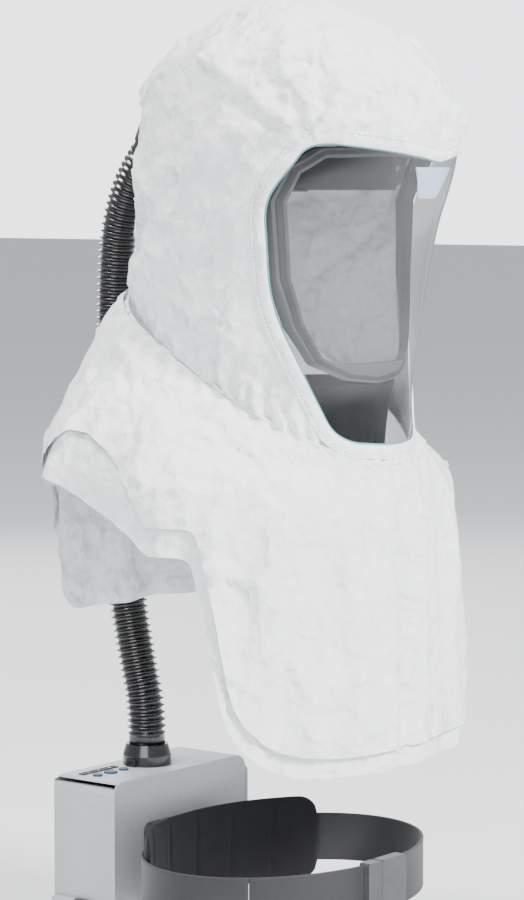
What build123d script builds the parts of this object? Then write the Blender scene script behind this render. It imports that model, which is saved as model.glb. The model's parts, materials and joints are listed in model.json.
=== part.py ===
# Powered air respirator: loose hood with wrap-round visor and double bib, head harness,
# breathing hose, and a belt-carried blower with filter and battery.
# Millimetres. +Z up, the wearer faces -Y, the wearer's left is +X.
# The origin is the centre of the headband, where the head carries the hood.
import os
from math import atan2, cos, pi, radians, sin, tan

from build123d import *

os.makedirs("parts", exist_ok=True)

# ---------------------------------------------------------------- driving sizes
fit_gap = 0.3            # clearance between pieces that move or are only laid together
running_gap = 0.05       # radial clearance of a shaft in its bore

# hood
hood_half_width = 130.0
hood_half_length = 170.0
hood_top = 168.0
hood_wall = 1.5
crown_seam_height = 102.0
back_seam_y = 60.0
neck_front = (-118.0, -278.0)      # y, z of the neck seam at the chest
neck_back = (176.0, -108.0)        # y, z of the neck seam at the nape
window_side_y = -52.0              # the window's side edges stand at this y
hem_width = 13.0
hem_thickness = 1.0
visor_thickness = 1.0
visor_lap = 9.0                    # how far the visor runs behind the window's edge
tab_top_width = 58.0
tab_bottom_width = 30.0
tab_height = 30.0
tab_thickness = 0.8

# bib
bib_wall = 1.5
bib_layer_gap = 4.0
bib_half_width = 222.0
bib_front_drop = 545.0
bib_back_drop = 365.0
bib_inner_extra = 20.0             # the inner layer hangs this much lower in front
bib_inner_back_extra = 60.0
shoulder_hem_height = -325.0
inner_shoulder_extra = 27.0
bib_split_y = 10.0
front_lobe_half_width = 204.0
front_lobe_corner = 75.0
back_lobe_half_width = 172.0
back_lobe_y = 120.0                # the back lobe hangs behind this y
back_lobe_corner = 30.0
lobe_taper = 20.0                  # each lobe is this much narrower a side at its hem
seal_top_half_width = 96.0
seal_top_half_length = 79.0
seal_top_y = -15.0
seal_bottom_half_width = 74.0
seal_bottom_half_length = 69.0
seal_bottom_y = -18.0

# head harness
band_half_width = 80.0
band_half_length = 98.0
band_thickness = 2.0
band_low = -12.0
band_high = 26.0
pad_thickness = 5.0
strap_width = 22.0
strap_thickness = 1.6
crown_height = 97.2
arm_thickness = 1.4
arm_end_y = 42.0
rack_module = 1.0
pinion_teeth = 12
pinion_height = -7.0
rack_y = 106.0
rack_thickness = 3.0
rack_back = 3.0
rack_length = 56.0
knob_radius = 22.0
knob_length = 13.0
knob_shaft_radius = 2.5
ratchet_half_width = 34.0
ratchet_wall = 2.2

# face frame
frame_depth = 8.0
frame_bar = 9.0
frame_wrap_x = 130.0
frame_wrap_y = 118.0
frame_lean = 17.0 / 210.0          # the frame steps back this much for each millimetre down
chin_bar_top = -180.0
clip_size = 8.0
clip_spacing = 42.0

# air port at the back of the hood and the hose
port_centre = (0.0, 155.0, 62.0)
port_lean = 40.0                   # degrees the port's axis leans out from straight down
collar_radius = 28.0
collar_length = 12.0
pocket_radius = 34.0
bulge_length = 20.0
nozzle_radius = 21.7
hose_radius = 20.0
hose_bore = 17.0
cuff_length = 32.0
tab_width = 14.0
tab_press = 1.8

# blower unit
unit_half_width = 105.0
unit_front = 148.0                 # y of the face towards the wearer's back
unit_thickness = 84.0
unit_top = -605.0
unit_height = 185.0
unit_wall = 2.5
unit_corner = 14.0
battery_length = 150.0
battery_height = 44.0
fan_centre = (-42.0, -672.0)       # x, z
impeller_radius = 36.0
impeller_width = 22.0
blade_count = 12
motor_radius = 17.0
shaft_radius = 2.0
power_button_radius = 7.0
flow_button_radius = 5.0
button_press = 1.5

# belt
belt_half_width = 165.0
belt_half_depth = 120.0
belt_centre_y = 15.0
belt_thickness = 2.5
belt_width = 50.0
belt_height = -690.0
buckle_width = 62.0
buckle_thickness = 12.0
prong_length = 24.0


def finish(builder, name):
    builder.part.label = name
    export_step(builder.part, f"parts/{name}.step")


# ---------------------------------------------------------------- hood form
# Each level of the hood: height, middle in y, share of the half width, share of the half length
hood_levels = [
    (-275.0, 0.0, 0.830, 0.690),
    (-200.0, 12.0, 0.892, 0.765),
    (-123.0, 21.0, 0.970, 0.894),
    (-54.0, 12.0, 1.000, 0.924),
    (10.0, 2.0, 1.000, 1.000),
    (64.0, -4.0, 0.960, 0.980),
    (113.0, 8.0, 0.810, 0.820),
    (142.0, 9.0, 0.577, 0.560),
    (160.0, 9.0, 0.385, 0.380),
    (hood_top, 9.0, 0.185, 0.190),
]
neck_slope = atan2(neck_back[1] - neck_front[1], neck_back[0] - neck_front[0])
neck_middle = (
    0,
    (neck_front[0] + neck_back[0]) / 2,
    (neck_front[1] + neck_back[1]) / 2,
)
neck_plane = Plane(origin=neck_middle, x_dir=(1, 0, 0), z_dir=(0, -sin(neck_slope), cos(neck_slope)))
reach = 400.0                      # longer than any piece that it cuts


def hood_form(inset):
    # the hood as a closed form, its surface moved inwards by inset
    with BuildPart() as form:
        for height, middle, width_share, length_share in hood_levels:
            level = min(height, hood_top - inset)
            with BuildSketch(Plane.XY.offset(level)):
                with Locations((0, middle)):
                    Ellipse(width_share * hood_half_width - inset, length_share * hood_half_length - inset)
        loft(ruled=True)
    return form.part


def window_outline(margin):
    # front view of the visor window, its edge moved outwards by margin
    right_side = [
        (108.0, 31.0),
        (120.0, -12.0),
        (121.0, -34.0),
        (111.0, -127.0),
        (88.0, -191.0),
        (67.0, -245.0),
        (50.0, -256.0),
        (0.0, -260.0),
    ]
    left_side = [(-x, z) for x, z in reversed(right_side[:-1])]
    with BuildSketch(Plane.XZ.offset(-window_side_y - margin)) as outline:
        with BuildLine():
            Polyline((0, 12), *right_side, *left_side, close=True)
        make_face()
        fillet(outline.vertices().sort_by(Axis.Y)[-2:], radius=12)
        if margin:
            offset(amount=margin)
    return outline.sketch


def window_prism(margin):
    with BuildPart() as prism:
        extrude(window_outline(margin), amount=reach / 2, dir=(0, -1, 0))
    return prism.part


outer_form = hood_form(0)
inner_form = hood_form(hood_wall)
window = window_prism(0)
port_axis = (0, sin(radians(port_lean)), -cos(radians(port_lean)))
port_plane = Plane(origin=port_centre, x_dir=(1, 0, 0), z_dir=port_axis)

def port_pocket(margin):
    # recess in the back of the hood that the port's collar sits in
    with BuildPart() as pocket:
        with BuildSketch(port_plane.offset(-margin)):
            Circle(pocket_radius + margin)
        extrude(amount=80)
    return pocket.part


def port_bulge(inset):
    # the hood's cloth swells out to the collar over the top of that recess
    with BuildPart() as bulge:
        with BuildSketch(port_plane.offset(inset - bulge_length)):
            Circle(pocket_radius - inset)
        extrude(amount=bulge_length - 2 * inset)
    return bulge.part


with BuildPart() as inner_hollow:
    add(inner_form)
    add(port_pocket(hood_wall), mode=Mode.SUBTRACT)
    add(port_bulge(hood_wall))

with BuildPart() as hood_shell:
    add(outer_form)
    add(port_pocket(0), mode=Mode.SUBTRACT)
    add(port_bulge(0))
    add(inner_hollow.part, mode=Mode.SUBTRACT)
    add(window, mode=Mode.SUBTRACT)
    with BuildSketch(port_plane):
        Circle(nozzle_radius + fit_gap)
    extrude(amount=10, both=True, mode=Mode.SUBTRACT)
    split(bisect_by=neck_plane, keep=Keep.TOP)

with BuildPart() as hood_crown:
    add(hood_shell.part)
    split(bisect_by=Plane.XY.offset(crown_seam_height), keep=Keep.TOP)
finish(hood_crown, "hood_crown")

with BuildPart() as hood_lower:
    add(hood_shell.part)
    split(bisect_by=Plane.XY.offset(crown_seam_height), keep=Keep.BOTTOM)

back_seam_plane = Plane(origin=(0, back_seam_y, 0), x_dir=(1, 0, 0), z_dir=(0, 1, 0))
with BuildPart() as hood_back:
    add(hood_lower.part)
    split(bisect_by=back_seam_plane, keep=Keep.TOP)
finish(hood_back, "hood_back")

with BuildPart() as hood_side_left:
    add(hood_lower.part)
    split(bisect_by=back_seam_plane, keep=Keep.BOTTOM)
    split(bisect_by=Plane.YZ, keep=Keep.TOP)
finish(hood_side_left, "hood_side_left")

with BuildPart() as hood_side_right:
    add(hood_lower.part)
    split(bisect_by=back_seam_plane, keep=Keep.BOTTOM)
    split(bisect_by=Plane.YZ, keep=Keep.BOTTOM)
finish(hood_side_right, "hood_side_right")

# clear visor sheet behind the window's edge
with BuildPart() as visor:
    add(window_prism(visor_lap))
    add(hood_form(hood_wall + fit_gap), mode=Mode.INTERSECT)
    add(hood_form(hood_wall + fit_gap + visor_thickness), mode=Mode.SUBTRACT)
    split(bisect_by=neck_plane, keep=Keep.TOP)
finish(visor, "visor")

# stitched hem laid on the hood round the window
with BuildPart() as visor_hem:
    add(window_prism(hem_width))
    add(window, mode=Mode.SUBTRACT)
    add(hood_form(-hem_thickness), mode=Mode.INTERSECT)
    add(outer_form, mode=Mode.SUBTRACT)
    split(bisect_by=neck_plane, keep=Keep.TOP)
finish(visor_hem, "visor_hem")

# tapered tab on the visor under the brow
tab_top = 6.0
with BuildPart() as visor_tab:
    with BuildSketch(Plane.XZ.offset(100)):
        with BuildLine():
            Polyline(
                (-tab_top_width / 2, tab_top),
                (tab_top_width / 2, tab_top),
                (tab_bottom_width / 2, tab_top - tab_height),
                (-tab_bottom_width / 2, tab_top - tab_height),
                close=True,
            )
        make_face()
    extrude(amount=reach / 2)
    add(hood_form(hood_wall + fit_gap - tab_thickness), mode=Mode.INTERSECT)
    add(hood_form(hood_wall + fit_gap), mode=Mode.SUBTRACT)
finish(visor_tab, "visor_tab")

# ---------------------------------------------------------------- bib
# Each level of the bib: y and z at the chest, y and z at the back, half width, back corner radius
bib_levels = [
    (neck_front[0], neck_front[1], neck_back[0], neck_back[1], 0.53, 105.0),
    (-124.0, -288.0, 185.0, -165.0, 0.74, 100.0),
    (-127.0, -312.0, 184.0, -245.0, 0.95, 50.0),
    (-129.0, -335.0, 180.0, -335.0, 1.00, 50.0),
    (-133.0, -440.0, 170.0, -440.0, 1.00, 55.0),
    (-136.0, -600.0, 160.0, -600.0, 0.98, 60.0),
]


def bib_form(inset):
    with BuildPart() as form:
        for y_front, z_front, y_back, z_back, width_share, corner in bib_levels:
            slope = atan2(z_back - z_front, y_back - y_front)
            half_length = (y_back - y_front) / 2 / cos(slope) - inset
            half_width = width_share * bib_half_width - inset
            level = Plane(
                origin=(0, (y_front + y_back) / 2, (z_front + z_back) / 2),
                x_dir=(1, 0, 0),
                z_dir=(0, -sin(slope), cos(slope)),
            )
            with BuildSketch(level):
                with BuildLine():
                    EllipticalCenterArc((0, 0), half_width, half_length, start_angle=180, arc_size=180)
                    FilletPolyline(
                        (half_width, 0),
                        (half_width, half_length),
                        (-half_width, half_length),
                        (-half_width, 0),
                        radius=corner - inset,
                    )
                make_face()
        loft(ruled=True)
    return form.part


def lobe_prism(side_half_width, bottom, corner, hem, y_low, y_high):
    # everything above a rounded lobe, between two y planes
    shoulder = bib_half_width + lobe_taper
    with BuildPart() as prism:
        with BuildSketch(Plane.XZ.offset(-y_high)) as outline:
            with BuildLine():
                Polyline(
                    (-shoulder, 0),
                    (shoulder, 0),
                    (shoulder, hem),
                    (side_half_width, hem),
                    (side_half_width - lobe_taper, -bottom),
                    (-side_half_width + lobe_taper, -bottom),
                    (-side_half_width, hem),
                    (-shoulder, hem),
                    close=True,
                )
            make_face()
            fillet(outline.vertices().group_by(Axis.Y)[0], radius=corner)
        extrude(amount=y_high - y_low)
    return prism.part


# side view of the hem over each shoulder: y, and height above or below the shoulder hem
outer_arch = [(10, 0), (24, 24), (45, 46), (75, 68), (100, 81), (125, 84), (150, 62), (190, 40)]
inner_arch = [(10, 0), (28, 16), (58, 31), (106, 51), (124, 59), (146, 67), (170, 60), (195, 32)]


def arch_prism(arch, hem):
    # everything above the arched hem, behind the split between front and back
    with BuildPart() as prism:
        with BuildSketch(Plane.YZ):
            with BuildLine():
                Polyline(
                    *[(y, hem + rise) for y, rise in arch],
                    (reach, hem + arch[-1][1]),
                    (reach, 0),
                    (arch[0][0], 0),
                    close=True,
                )
            make_face()
        extrude(amount=reach, both=True)
    return prism.part


def bib_layer(inset, front_bottom, back_bottom, hem, arch):
    with BuildPart() as layer:
        add(bib_form(inset))
        add(bib_form(inset + bib_wall), mode=Mode.SUBTRACT)
        with BuildPart(mode=Mode.PRIVATE) as lobes:
            add(lobe_prism(front_lobe_half_width, front_bottom, front_lobe_corner, hem, -reach, bib_split_y))
            add(arch_prism(arch, hem))
            with BuildPart(mode=Mode.PRIVATE) as back_lobe:
                add(lobe_prism(back_lobe_half_width, back_bottom, back_lobe_corner, hem, back_lobe_y, reach))
                split(bisect_by=Plane.YZ.offset(back_lobe_half_width), keep=Keep.BOTTOM)
                split(bisect_by=Plane.YZ.offset(-back_lobe_half_width), keep=Keep.TOP)
            add(back_lobe.part)
        add(lobes.part, mode=Mode.INTERSECT)
    return layer


bib_outer = bib_layer(0, bib_front_drop, bib_back_drop, shoulder_hem_height, outer_arch)
finish(bib_outer, "bib_outer")
bib_inner = bib_layer(
    bib_wall + bib_layer_gap,
    bib_front_drop + bib_inner_extra,
    bib_back_drop + bib_inner_back_extra,
    shoulder_hem_height - inner_shoulder_extra,
    inner_arch,
)
finish(bib_inner, "bib_inner")

# neck seal: a soft skirt from under the chin bar down to an elastic round the neck
seal_top = -200.4
seal_bottom = -290.0
with BuildPart() as neck_seal:
    for skin, mode in ((0.0, Mode.ADD), (hood_wall, Mode.SUBTRACT)):
        with BuildSketch(Plane.XY.offset(seal_top)):
            with Locations((0, seal_top_y)):
                Ellipse(seal_top_half_width - skin, seal_top_half_length - skin)
        with BuildSketch(Plane.XY.offset(seal_bottom)):
            with Locations((0, seal_bottom_y)):
                Ellipse(seal_bottom_half_width - skin, seal_bottom_half_length - skin)
        loft(ruled=True, mode=mode)
finish(neck_seal, "neck_seal")


# ---------------------------------------------------------------- head harness
def band_ring(inset, outset, low, high):
    # upright elliptical ring round the head, between two heights
    with BuildPart() as ring:
        with BuildSketch(Plane.XY.offset(low)):
            Ellipse(band_half_width + outset, band_half_length + outset)
            Ellipse(band_half_width - inset, band_half_length - inset, mode=Mode.SUBTRACT)
        extrude(amount=high - low)
    return ring.part


with BuildPart() as headband_front:
    add(band_ring(0, band_thickness, band_low, band_high))
    split(bisect_by=Plane(origin=(0, arm_end_y, 0), x_dir=(1, 0, 0), z_dir=(0, 1, 0)), keep=Keep.BOTTOM)
finish(headband_front, "headband_front")

with BuildPart() as forehead_pad:
    add(band_ring(pad_thickness, -fit_gap, band_low - 3, band_high))
    split(bisect_by=Plane(origin=(0, -20, 0), x_dir=(1, 0, 0), z_dir=(0, 1, 0)), keep=Keep.BOTTOM)
finish(forehead_pad, "forehead_pad")

with BuildPart() as crown_strap_cross:
    with BuildSketch(Plane.XZ.offset(-strap_width / 2)):
        Ellipse(band_half_width + band_thickness + strap_thickness, crown_height + strap_thickness)
        Ellipse(band_half_width + band_thickness, crown_height, mode=Mode.SUBTRACT)
    extrude(amount=strap_width)
    split(bisect_by=Plane.XY.offset(band_high + fit_gap), keep=Keep.TOP)
finish(crown_strap_cross, "crown_strap_cross")

long_strap_height = crown_height + strap_thickness + 3 * fit_gap
with BuildPart() as crown_strap_long:
    with BuildSketch(Plane.YZ.offset(-strap_width / 2)):
        Ellipse(band_half_length + band_thickness + strap_thickness, long_strap_height + strap_thickness)
        Ellipse(band_half_length + band_thickness, long_strap_height, mode=Mode.SUBTRACT)
    extrude(amount=strap_width)
    split(bisect_by=Plane.XY.offset(band_high + fit_gap), keep=Keep.TOP)
finish(crown_strap_long, "crown_strap_long")

# ratchet at the nape: two racks driven in opposite directions by one pinion
pitch_radius = rack_module * pinion_teeth / 2
tooth_pitch = pi * rack_module
tooth_tip = 0.75 * rack_module      # short teeth with play on both flanks
tooth_root = 1.15 * rack_module
tooth_half_tip = 0.30 * rack_module
tooth_half_root = 0.86 * rack_module
ratchet_mid = rack_y + rack_thickness / 2
rack_reach = ratchet_half_width + 4


def make_rack(side):
    # side +1: the left rack, over the pinion; side -1: the right rack, under it
    with BuildPart() as rack:
        with BuildSketch(Plane.XZ.offset(-rack_y - rack_thickness)):
            level = pinion_height + side * (pitch_radius + tooth_root)
            back = pinion_height + side * (pitch_radius + tooth_root + rack_back)
            with Locations(((rack_reach - rack_length / 2) * side, (level + back) / 2)):
                Rectangle(rack_length, rack_back)
            count = int((rack_length - 6) / tooth_pitch)
            for k in range(count):
                x = side * (rack_reach - rack_length + (k + 1) * tooth_pitch)
                x = (round(x / tooth_pitch - 0.5) + 0.5) * tooth_pitch
                tip = pinion_height + side * (pitch_radius - tooth_tip)
                with BuildLine():
                    Polyline(
                        (x - tooth_half_root, level + side * 0.2),
                        (x - tooth_half_tip, tip),
                        (x + tooth_half_tip, tip),
                        (x + tooth_half_root, level + side * 0.2),
                        close=True,
                    )
                make_face()
        extrude(amount=rack_thickness)
    return rack


def make_arm(side):
    # flexible strip from the end of the front band to the rack
    with BuildPart() as arm:
        middle_length = band_half_length + band_thickness / 2
        start_share = (1 - (arm_end_y / middle_length) ** 2) ** 0.5
        start_x = (band_half_width + band_thickness / 2) * start_share
        with BuildSketch(Plane.XY.offset(pinion_height - 10)):
            with BuildLine():
                ThreePointArc(
                    (side * start_x, arm_end_y + fit_gap),
                    (side * 62, 88),
                    (side * (rack_reach + fit_gap), ratchet_mid),
                )
            trace(line_width=arm_thickness)
        extrude(amount=20)
    return arm


rack_left = make_rack(1)
finish(rack_left, "rack_left")
rack_right = make_rack(-1)
finish(rack_right, "rack_right")
band_arm_left = make_arm(1)
finish(band_arm_left, "band_arm_left")
band_arm_right = make_arm(-1)
finish(band_arm_right, "band_arm_right")

# pinion with its shaft
tooth_bury = 0.3                   # how far a tooth starts inside the hub
knob_seat = rack_y + rack_thickness + fit_gap + ratchet_wall + fit_gap
with BuildPart() as pinion:
    with BuildSketch(Plane.XZ.offset(-rack_y - rack_thickness)):
        with Locations((0, pinion_height)):
            Circle(pitch_radius - tooth_root)
        for k in range(pinion_teeth):
            turn = 360 / pinion_teeth * k
            with BuildSketch(Plane.XY, mode=Mode.PRIVATE) as tooth:
                with BuildLine():
                    Polyline(
                        (-tooth_half_root, pitch_radius - tooth_root - tooth_bury),
                        (-tooth_half_tip, pitch_radius + tooth_tip),
                        (tooth_half_tip, pitch_radius + tooth_tip),
                        (tooth_half_root, pitch_radius - tooth_root - tooth_bury),
                        close=True,
                    )
                make_face()
            add(tooth.sketch.rotate(Axis.Z, turn).translate((0, pinion_height, 0)))
    extrude(amount=rack_thickness)
    with BuildSketch(Plane.XZ.offset(-rack_y - rack_thickness)):
        with Locations((0, pinion_height)):
            Circle(knob_shaft_radius)
    extrude(amount=-(knob_seat - rack_y - rack_thickness))
finish(pinion, "pinion")

# housing in front of the racks and cover behind them
ratchet_half_height = pitch_radius + tooth_root + rack_back + fit_gap + ratchet_wall
with BuildPart() as ratchet_housing:
    with BuildSketch(Plane.XZ.offset(-rack_y + fit_gap + ratchet_wall)):
        with Locations((0, pinion_height)):
            RectangleRounded(2 * ratchet_half_width, 2 * ratchet_half_height, 6)
    extrude(amount=-(ratchet_wall + 2 * fit_gap + rack_thickness))
    channel = 2 * (ratchet_half_height - ratchet_wall)
    with BuildSketch(Plane.XZ.offset(-rack_y + fit_gap)):
        with Locations((0, pinion_height)):
            Rectangle(2 * ratchet_half_width + 2, channel)
    extrude(amount=-(2 * fit_gap + rack_thickness), mode=Mode.SUBTRACT)
finish(ratchet_housing, "ratchet_housing")

with BuildPart() as ratchet_cover:
    with BuildSketch(Plane.XZ.offset(-rack_y - rack_thickness - fit_gap)):
        with Locations((0, pinion_height)):
            RectangleRounded(2 * ratchet_half_width, 2 * ratchet_half_height, 6)
            Circle(knob_shaft_radius + running_gap, mode=Mode.SUBTRACT)
    extrude(amount=-ratchet_wall)
finish(ratchet_cover, "ratchet_cover")

knob_flutes = 16
with BuildPart() as ratchet_knob:
    with BuildSketch(Plane.XZ.offset(-knob_seat)):
        with Locations((0, pinion_height)):
            Circle(knob_radius)
            with PolarLocations(knob_radius + 1.2, knob_flutes):
                Circle(2.2, mode=Mode.SUBTRACT)
    extrude(amount=-knob_length)
    fillet(ratchet_knob.faces().sort_by(Axis.Y)[-1].edges(), radius=0.8)
finish(ratchet_knob, "ratchet_knob")

with BuildPart() as nape_pad:
    with BuildSketch(Plane.XZ.offset(-band_half_length)):
        with Locations((0, pinion_height)):
            RectangleRounded(2 * ratchet_half_width - 4, 2 * ratchet_half_height + 4, 8)
    extrude(amount=-(rack_y - fit_gap - ratchet_wall - band_half_length - fit_gap))
finish(nape_pad, "nape_pad")

# ---------------------------------------------------------------- face frame
frame_top = 26.0
wrap_top = 40.0                    # the curved wall starts above the frame


def frame_outline(margin):
    # front view of the face frame's outer edge
    right_side = [
        (80.0, 24.0),
        (103.0, 6.0),
        (112.0, -25.0),
        (106.0, -100.0),
        (94.0, -145.0),
        (75.0, -180.0),
        (40.0, -196.0),
    ]
    left_side = [(-x, z) for x, z in reversed(right_side)]
    with BuildSketch(Plane.XZ) as outline:
        with BuildLine():
            Polyline((0, frame_top), *right_side, (0, -200), *left_side, close=True)
        make_face()
        fillet(outline.vertices(), radius=9)
        if margin:
            offset(amount=margin)
    return outline.sketch


def wrap_shell(outset, depth):
    # curved wall that the frame is cut from, leaning back towards the chin
    lean = (0, frame_lean, -1)
    with BuildPart() as shell:
        with BuildSketch(Plane.XY.offset(wrap_top)):
            Ellipse(frame_wrap_x + outset, frame_wrap_y + outset)
            Ellipse(frame_wrap_x + outset - depth, frame_wrap_y + outset - depth, mode=Mode.SUBTRACT)
        extrude(amount=260 * (1 + frame_lean**2) ** 0.5, dir=lean)
    return shell.part


def frame_prism(margin):
    with BuildPart() as prism:
        extrude(frame_outline(margin), amount=reach / 2, dir=(0, -1, 0))
    return prism.part


with BuildPart() as frame_opening:
    add(frame_prism(-frame_bar))
    split(bisect_by=Plane.XY.offset(chin_bar_top), keep=Keep.TOP)

with BuildPart() as face_frame:
    add(frame_prism(0))
    add(frame_opening.part, mode=Mode.SUBTRACT)
    add(wrap_shell(0, frame_depth), mode=Mode.INTERSECT)
finish(face_frame, "face_frame")

seal_lip = 1.0
with BuildPart() as face_frame_seal:
    add(frame_prism(-2))
    add(frame_prism(-6), mode=Mode.SUBTRACT)
    add(wrap_shell(seal_lip, seal_lip - 0.05), mode=Mode.INTERSECT)
finish(face_frame_seal, "face_frame_seal")

# square clips on the chin bar
clip_thickness = 2.4
with BuildPart() as frame_clips:
    for k in (-1, 0, 1):
        x = k * clip_spacing
        corner_share = (abs(x) + clip_size / 2) / (frame_wrap_x - frame_depth)
        bar_back = -(frame_wrap_y - frame_depth) * (1 - corner_share**2) ** 0.5
        lean_back = frame_lean * (wrap_top - chin_bar_top + 12)
        with Locations((x, bar_back + lean_back + fit_gap + clip_thickness / 2, chin_bar_top - 8)):
            Box(clip_size, clip_thickness, clip_size)
finish(frame_clips, "frame_clips")


def make_bracket(side):
    # slotted plate from the headband to the face frame at each temple
    a = Vector(side * 81.3, -30, 12)
    b = Vector(side * 102.5, -55.7, 4)
    along = (b - a).normalized()
    with BuildPart() as bracket:
        plate = Plane(origin=(a + b) * 0.5, x_dir=along, z_dir=Vector(0, 0, 1).cross(along) * -side)
        with BuildSketch(plate):
            RectangleRounded((b - a).length, 34, 6)
            SlotOverall(24, 7, mode=Mode.SUBTRACT)
        extrude(amount=1.25, both=True)
    return bracket


bracket_left = make_bracket(1)
finish(bracket_left, "bracket_left")
bracket_right = make_bracket(-1)
finish(bracket_right, "bracket_right")

# ---------------------------------------------------------------- air port and hose
def along_port(distance):
    return port_plane.offset(distance)


notch_half = tab_width / 2 + fit_gap
with BuildPart() as inlet_port:
    with BuildSketch(along_port(0)):
        Circle(collar_radius)
        Circle(nozzle_radius + fit_gap, mode=Mode.SUBTRACT)
    extrude(amount=collar_length)
    with BuildSketch(along_port(3)):
        with Locations((0, -collar_radius)):
            Rectangle(2 * notch_half, 2 * (collar_radius - nozzle_radius - 0.5))
    extrude(amount=collar_length, mode=Mode.SUBTRACT)
finish(inlet_port, "inlet_port")

with BuildPart() as inlet_ring:
    with BuildSketch(along_port(-hood_wall - 6)):
        Circle(collar_radius + 3)
        Circle(nozzle_radius + fit_gap, mode=Mode.SUBTRACT)
    extrude(amount=6)
finish(inlet_ring, "inlet_ring")

# press tab that frees the hose from the collar
with BuildPart() as release_tab:
    with BuildSketch(along_port(3 + fit_gap)):
        with Locations((0, -(nozzle_radius + tab_press + 1 + 5.5))):
            Rectangle(tab_width, 11)
    extrude(amount=collar_length - 3 - fit_gap)
    fillet(release_tab.edges().filter_by(Axis.X), radius=1.2)
finish(release_tab, "release_tab")

# hose route, from the upper cuff down the back to the blower
cuff_end = collar_length + fit_gap + cuff_length
hose_start = Vector(*port_centre) + Vector(*port_axis) * (cuff_end + fit_gap)
hose_points = [
    (0, hose_start.Y, hose_start.Z),
    (0, hose_start.Y + 23, hose_start.Z - 27.5),
    (0, hose_start.Y + 39, hose_start.Z - 60),
    (0, 232, -71),
    (0, 236, -150),
    (0, 234, -290),
    (0, 224, -415),
    (0, 207, -497),
    (0, 194, -545),
    (0, 194, -583),
]


def arc_radius(before, corner, after):
    # the arc that a corner's two runs allow
    first = Vector(*corner) - Vector(*before)
    second = Vector(*after) - Vector(*corner)
    half_turn = radians(first.get_angle(second) / 2)
    return 0.45 * min(first.length, second.length) / tan(half_turn)


hose_radii = [arc_radius(*hose_points[k - 1:k + 2]) for k in range(1, len(hose_points) - 1)]
print("hose radii", [round(r) for r in hose_radii])
with BuildPart() as hose:
    with BuildLine() as hose_line:
        FilletPolyline(*hose_points, radius=hose_radii)
    first_run = Vector(*hose_points[1]) - Vector(*hose_points[0])
    with BuildSketch(Plane(origin=hose_points[0], x_dir=(1, 0, 0), z_dir=first_run.normalized())):
        Circle(hose_radius)
        Circle(hose_bore, mode=Mode.SUBTRACT)
    sweep()
hose_length = sum(edge.length for edge in hose_line.edges())
section = pi * (hose_radius**2 - hose_bore**2)
print("hose length", round(hose_length, 1), "volume ratio", hose.part.volume / section / hose_length)
finish(hose, "hose")

# upper cuff: nozzle in the collar, shoulder, and cone down to the hose
with BuildPart() as upper_cuff:
    cuff_start = collar_length + fit_gap
    cuff_plane_normal = Vector(1, 0, 0).cross(Vector(*port_axis))
    with BuildSketch(Plane(origin=port_centre, x_dir=(1, 0, 0), z_dir=cuff_plane_normal)):
        with BuildLine():
            Polyline(
                (hose_bore, 0),
                (nozzle_radius, 0),
                (nozzle_radius, cuff_start),
                (nozzle_radius + 5.0, cuff_start),
                (nozzle_radius + 5.0, cuff_start + 8),
                (hose_radius + 1.5, cuff_end),
                (hose_bore, cuff_end),
                close=True,
            )
        make_face()
    revolve(axis=Axis(port_centre, port_axis))
finish(upper_cuff, "upper_cuff")

# ---------------------------------------------------------------- air duct over the head
duct_width = 50.0
duct_height = 10.0
duct_wall = 1.2
duct_points = [
    (0, 149.9, 68.1),
    (0, 129.3, 92.6),
    (0, 92, 119),
    (0, 35, 133),
    (0, -28, 131),
    (0, -78, 110),
]
duct_radii = [arc_radius(*duct_points[k - 1:k + 2]) for k in range(1, len(duct_points) - 1)]
with BuildPart() as air_duct:
    with BuildLine():
        FilletPolyline(*duct_points, radius=duct_radii)
    duct_start = Vector(*duct_points[1]) - Vector(*duct_points[0])
    with BuildSketch(Plane(origin=duct_points[0], x_dir=(1, 0, 0), z_dir=duct_start.normalized())):
        RectangleRounded(duct_width, duct_height, 4)
        RectangleRounded(duct_width - 2 * duct_wall, duct_height - 2 * duct_wall, 2.8, mode=Mode.SUBTRACT)
    sweep()
finish(air_duct, "air_duct")

duct_exit = Vector(*duct_points[-1])
duct_end = (duct_exit - Vector(*duct_points[-2])).normalized()
diffuser_length = 22.0
with BuildPart() as diffuser:
    for skin, mode in ((0.0, Mode.ADD), (duct_wall, Mode.SUBTRACT)):
        start = Plane(origin=duct_exit + duct_end * fit_gap, x_dir=(1, 0, 0), z_dir=duct_end)
        with BuildSketch(start):
            Rectangle(duct_width - 2 * skin, duct_height - 2 * skin)
        with BuildSketch(start.offset(diffuser_length)):
            Rectangle(duct_width + 34 - 2 * skin, duct_height + 2 - 2 * skin)
        loft(ruled=True, mode=mode)
finish(diffuser, "diffuser")

# ---------------------------------------------------------------- blower unit
unit_back = unit_front + unit_thickness
unit_bottom = unit_top - unit_height
unit_middle_y = unit_front + unit_thickness / 2
bay_floor = unit_bottom + unit_corner + 1.0
bay_roof = bay_floor + battery_height + 2 * fit_gap
fan_floor = bay_roof + unit_wall
filter_wall_x = 20.0
inner_front = unit_front + unit_wall
inner_back = unit_back - unit_wall
outlet_y = hose_points[-1][1]
outlet_radius = 15.0
button_row = [(-82.0, flow_button_radius), (-62.0, power_button_radius), (-42.0, flow_button_radius)]
intake_height = 48.0


def block(x_low, x_high, y_low, y_high, z_low, z_high, mode=Mode.ADD):
    middle = ((x_low + x_high) / 2, (y_low + y_high) / 2, (z_low + z_high) / 2)
    with Locations(middle):
        Box(x_high - x_low, y_high - y_low, z_high - z_low, mode=mode)


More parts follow.
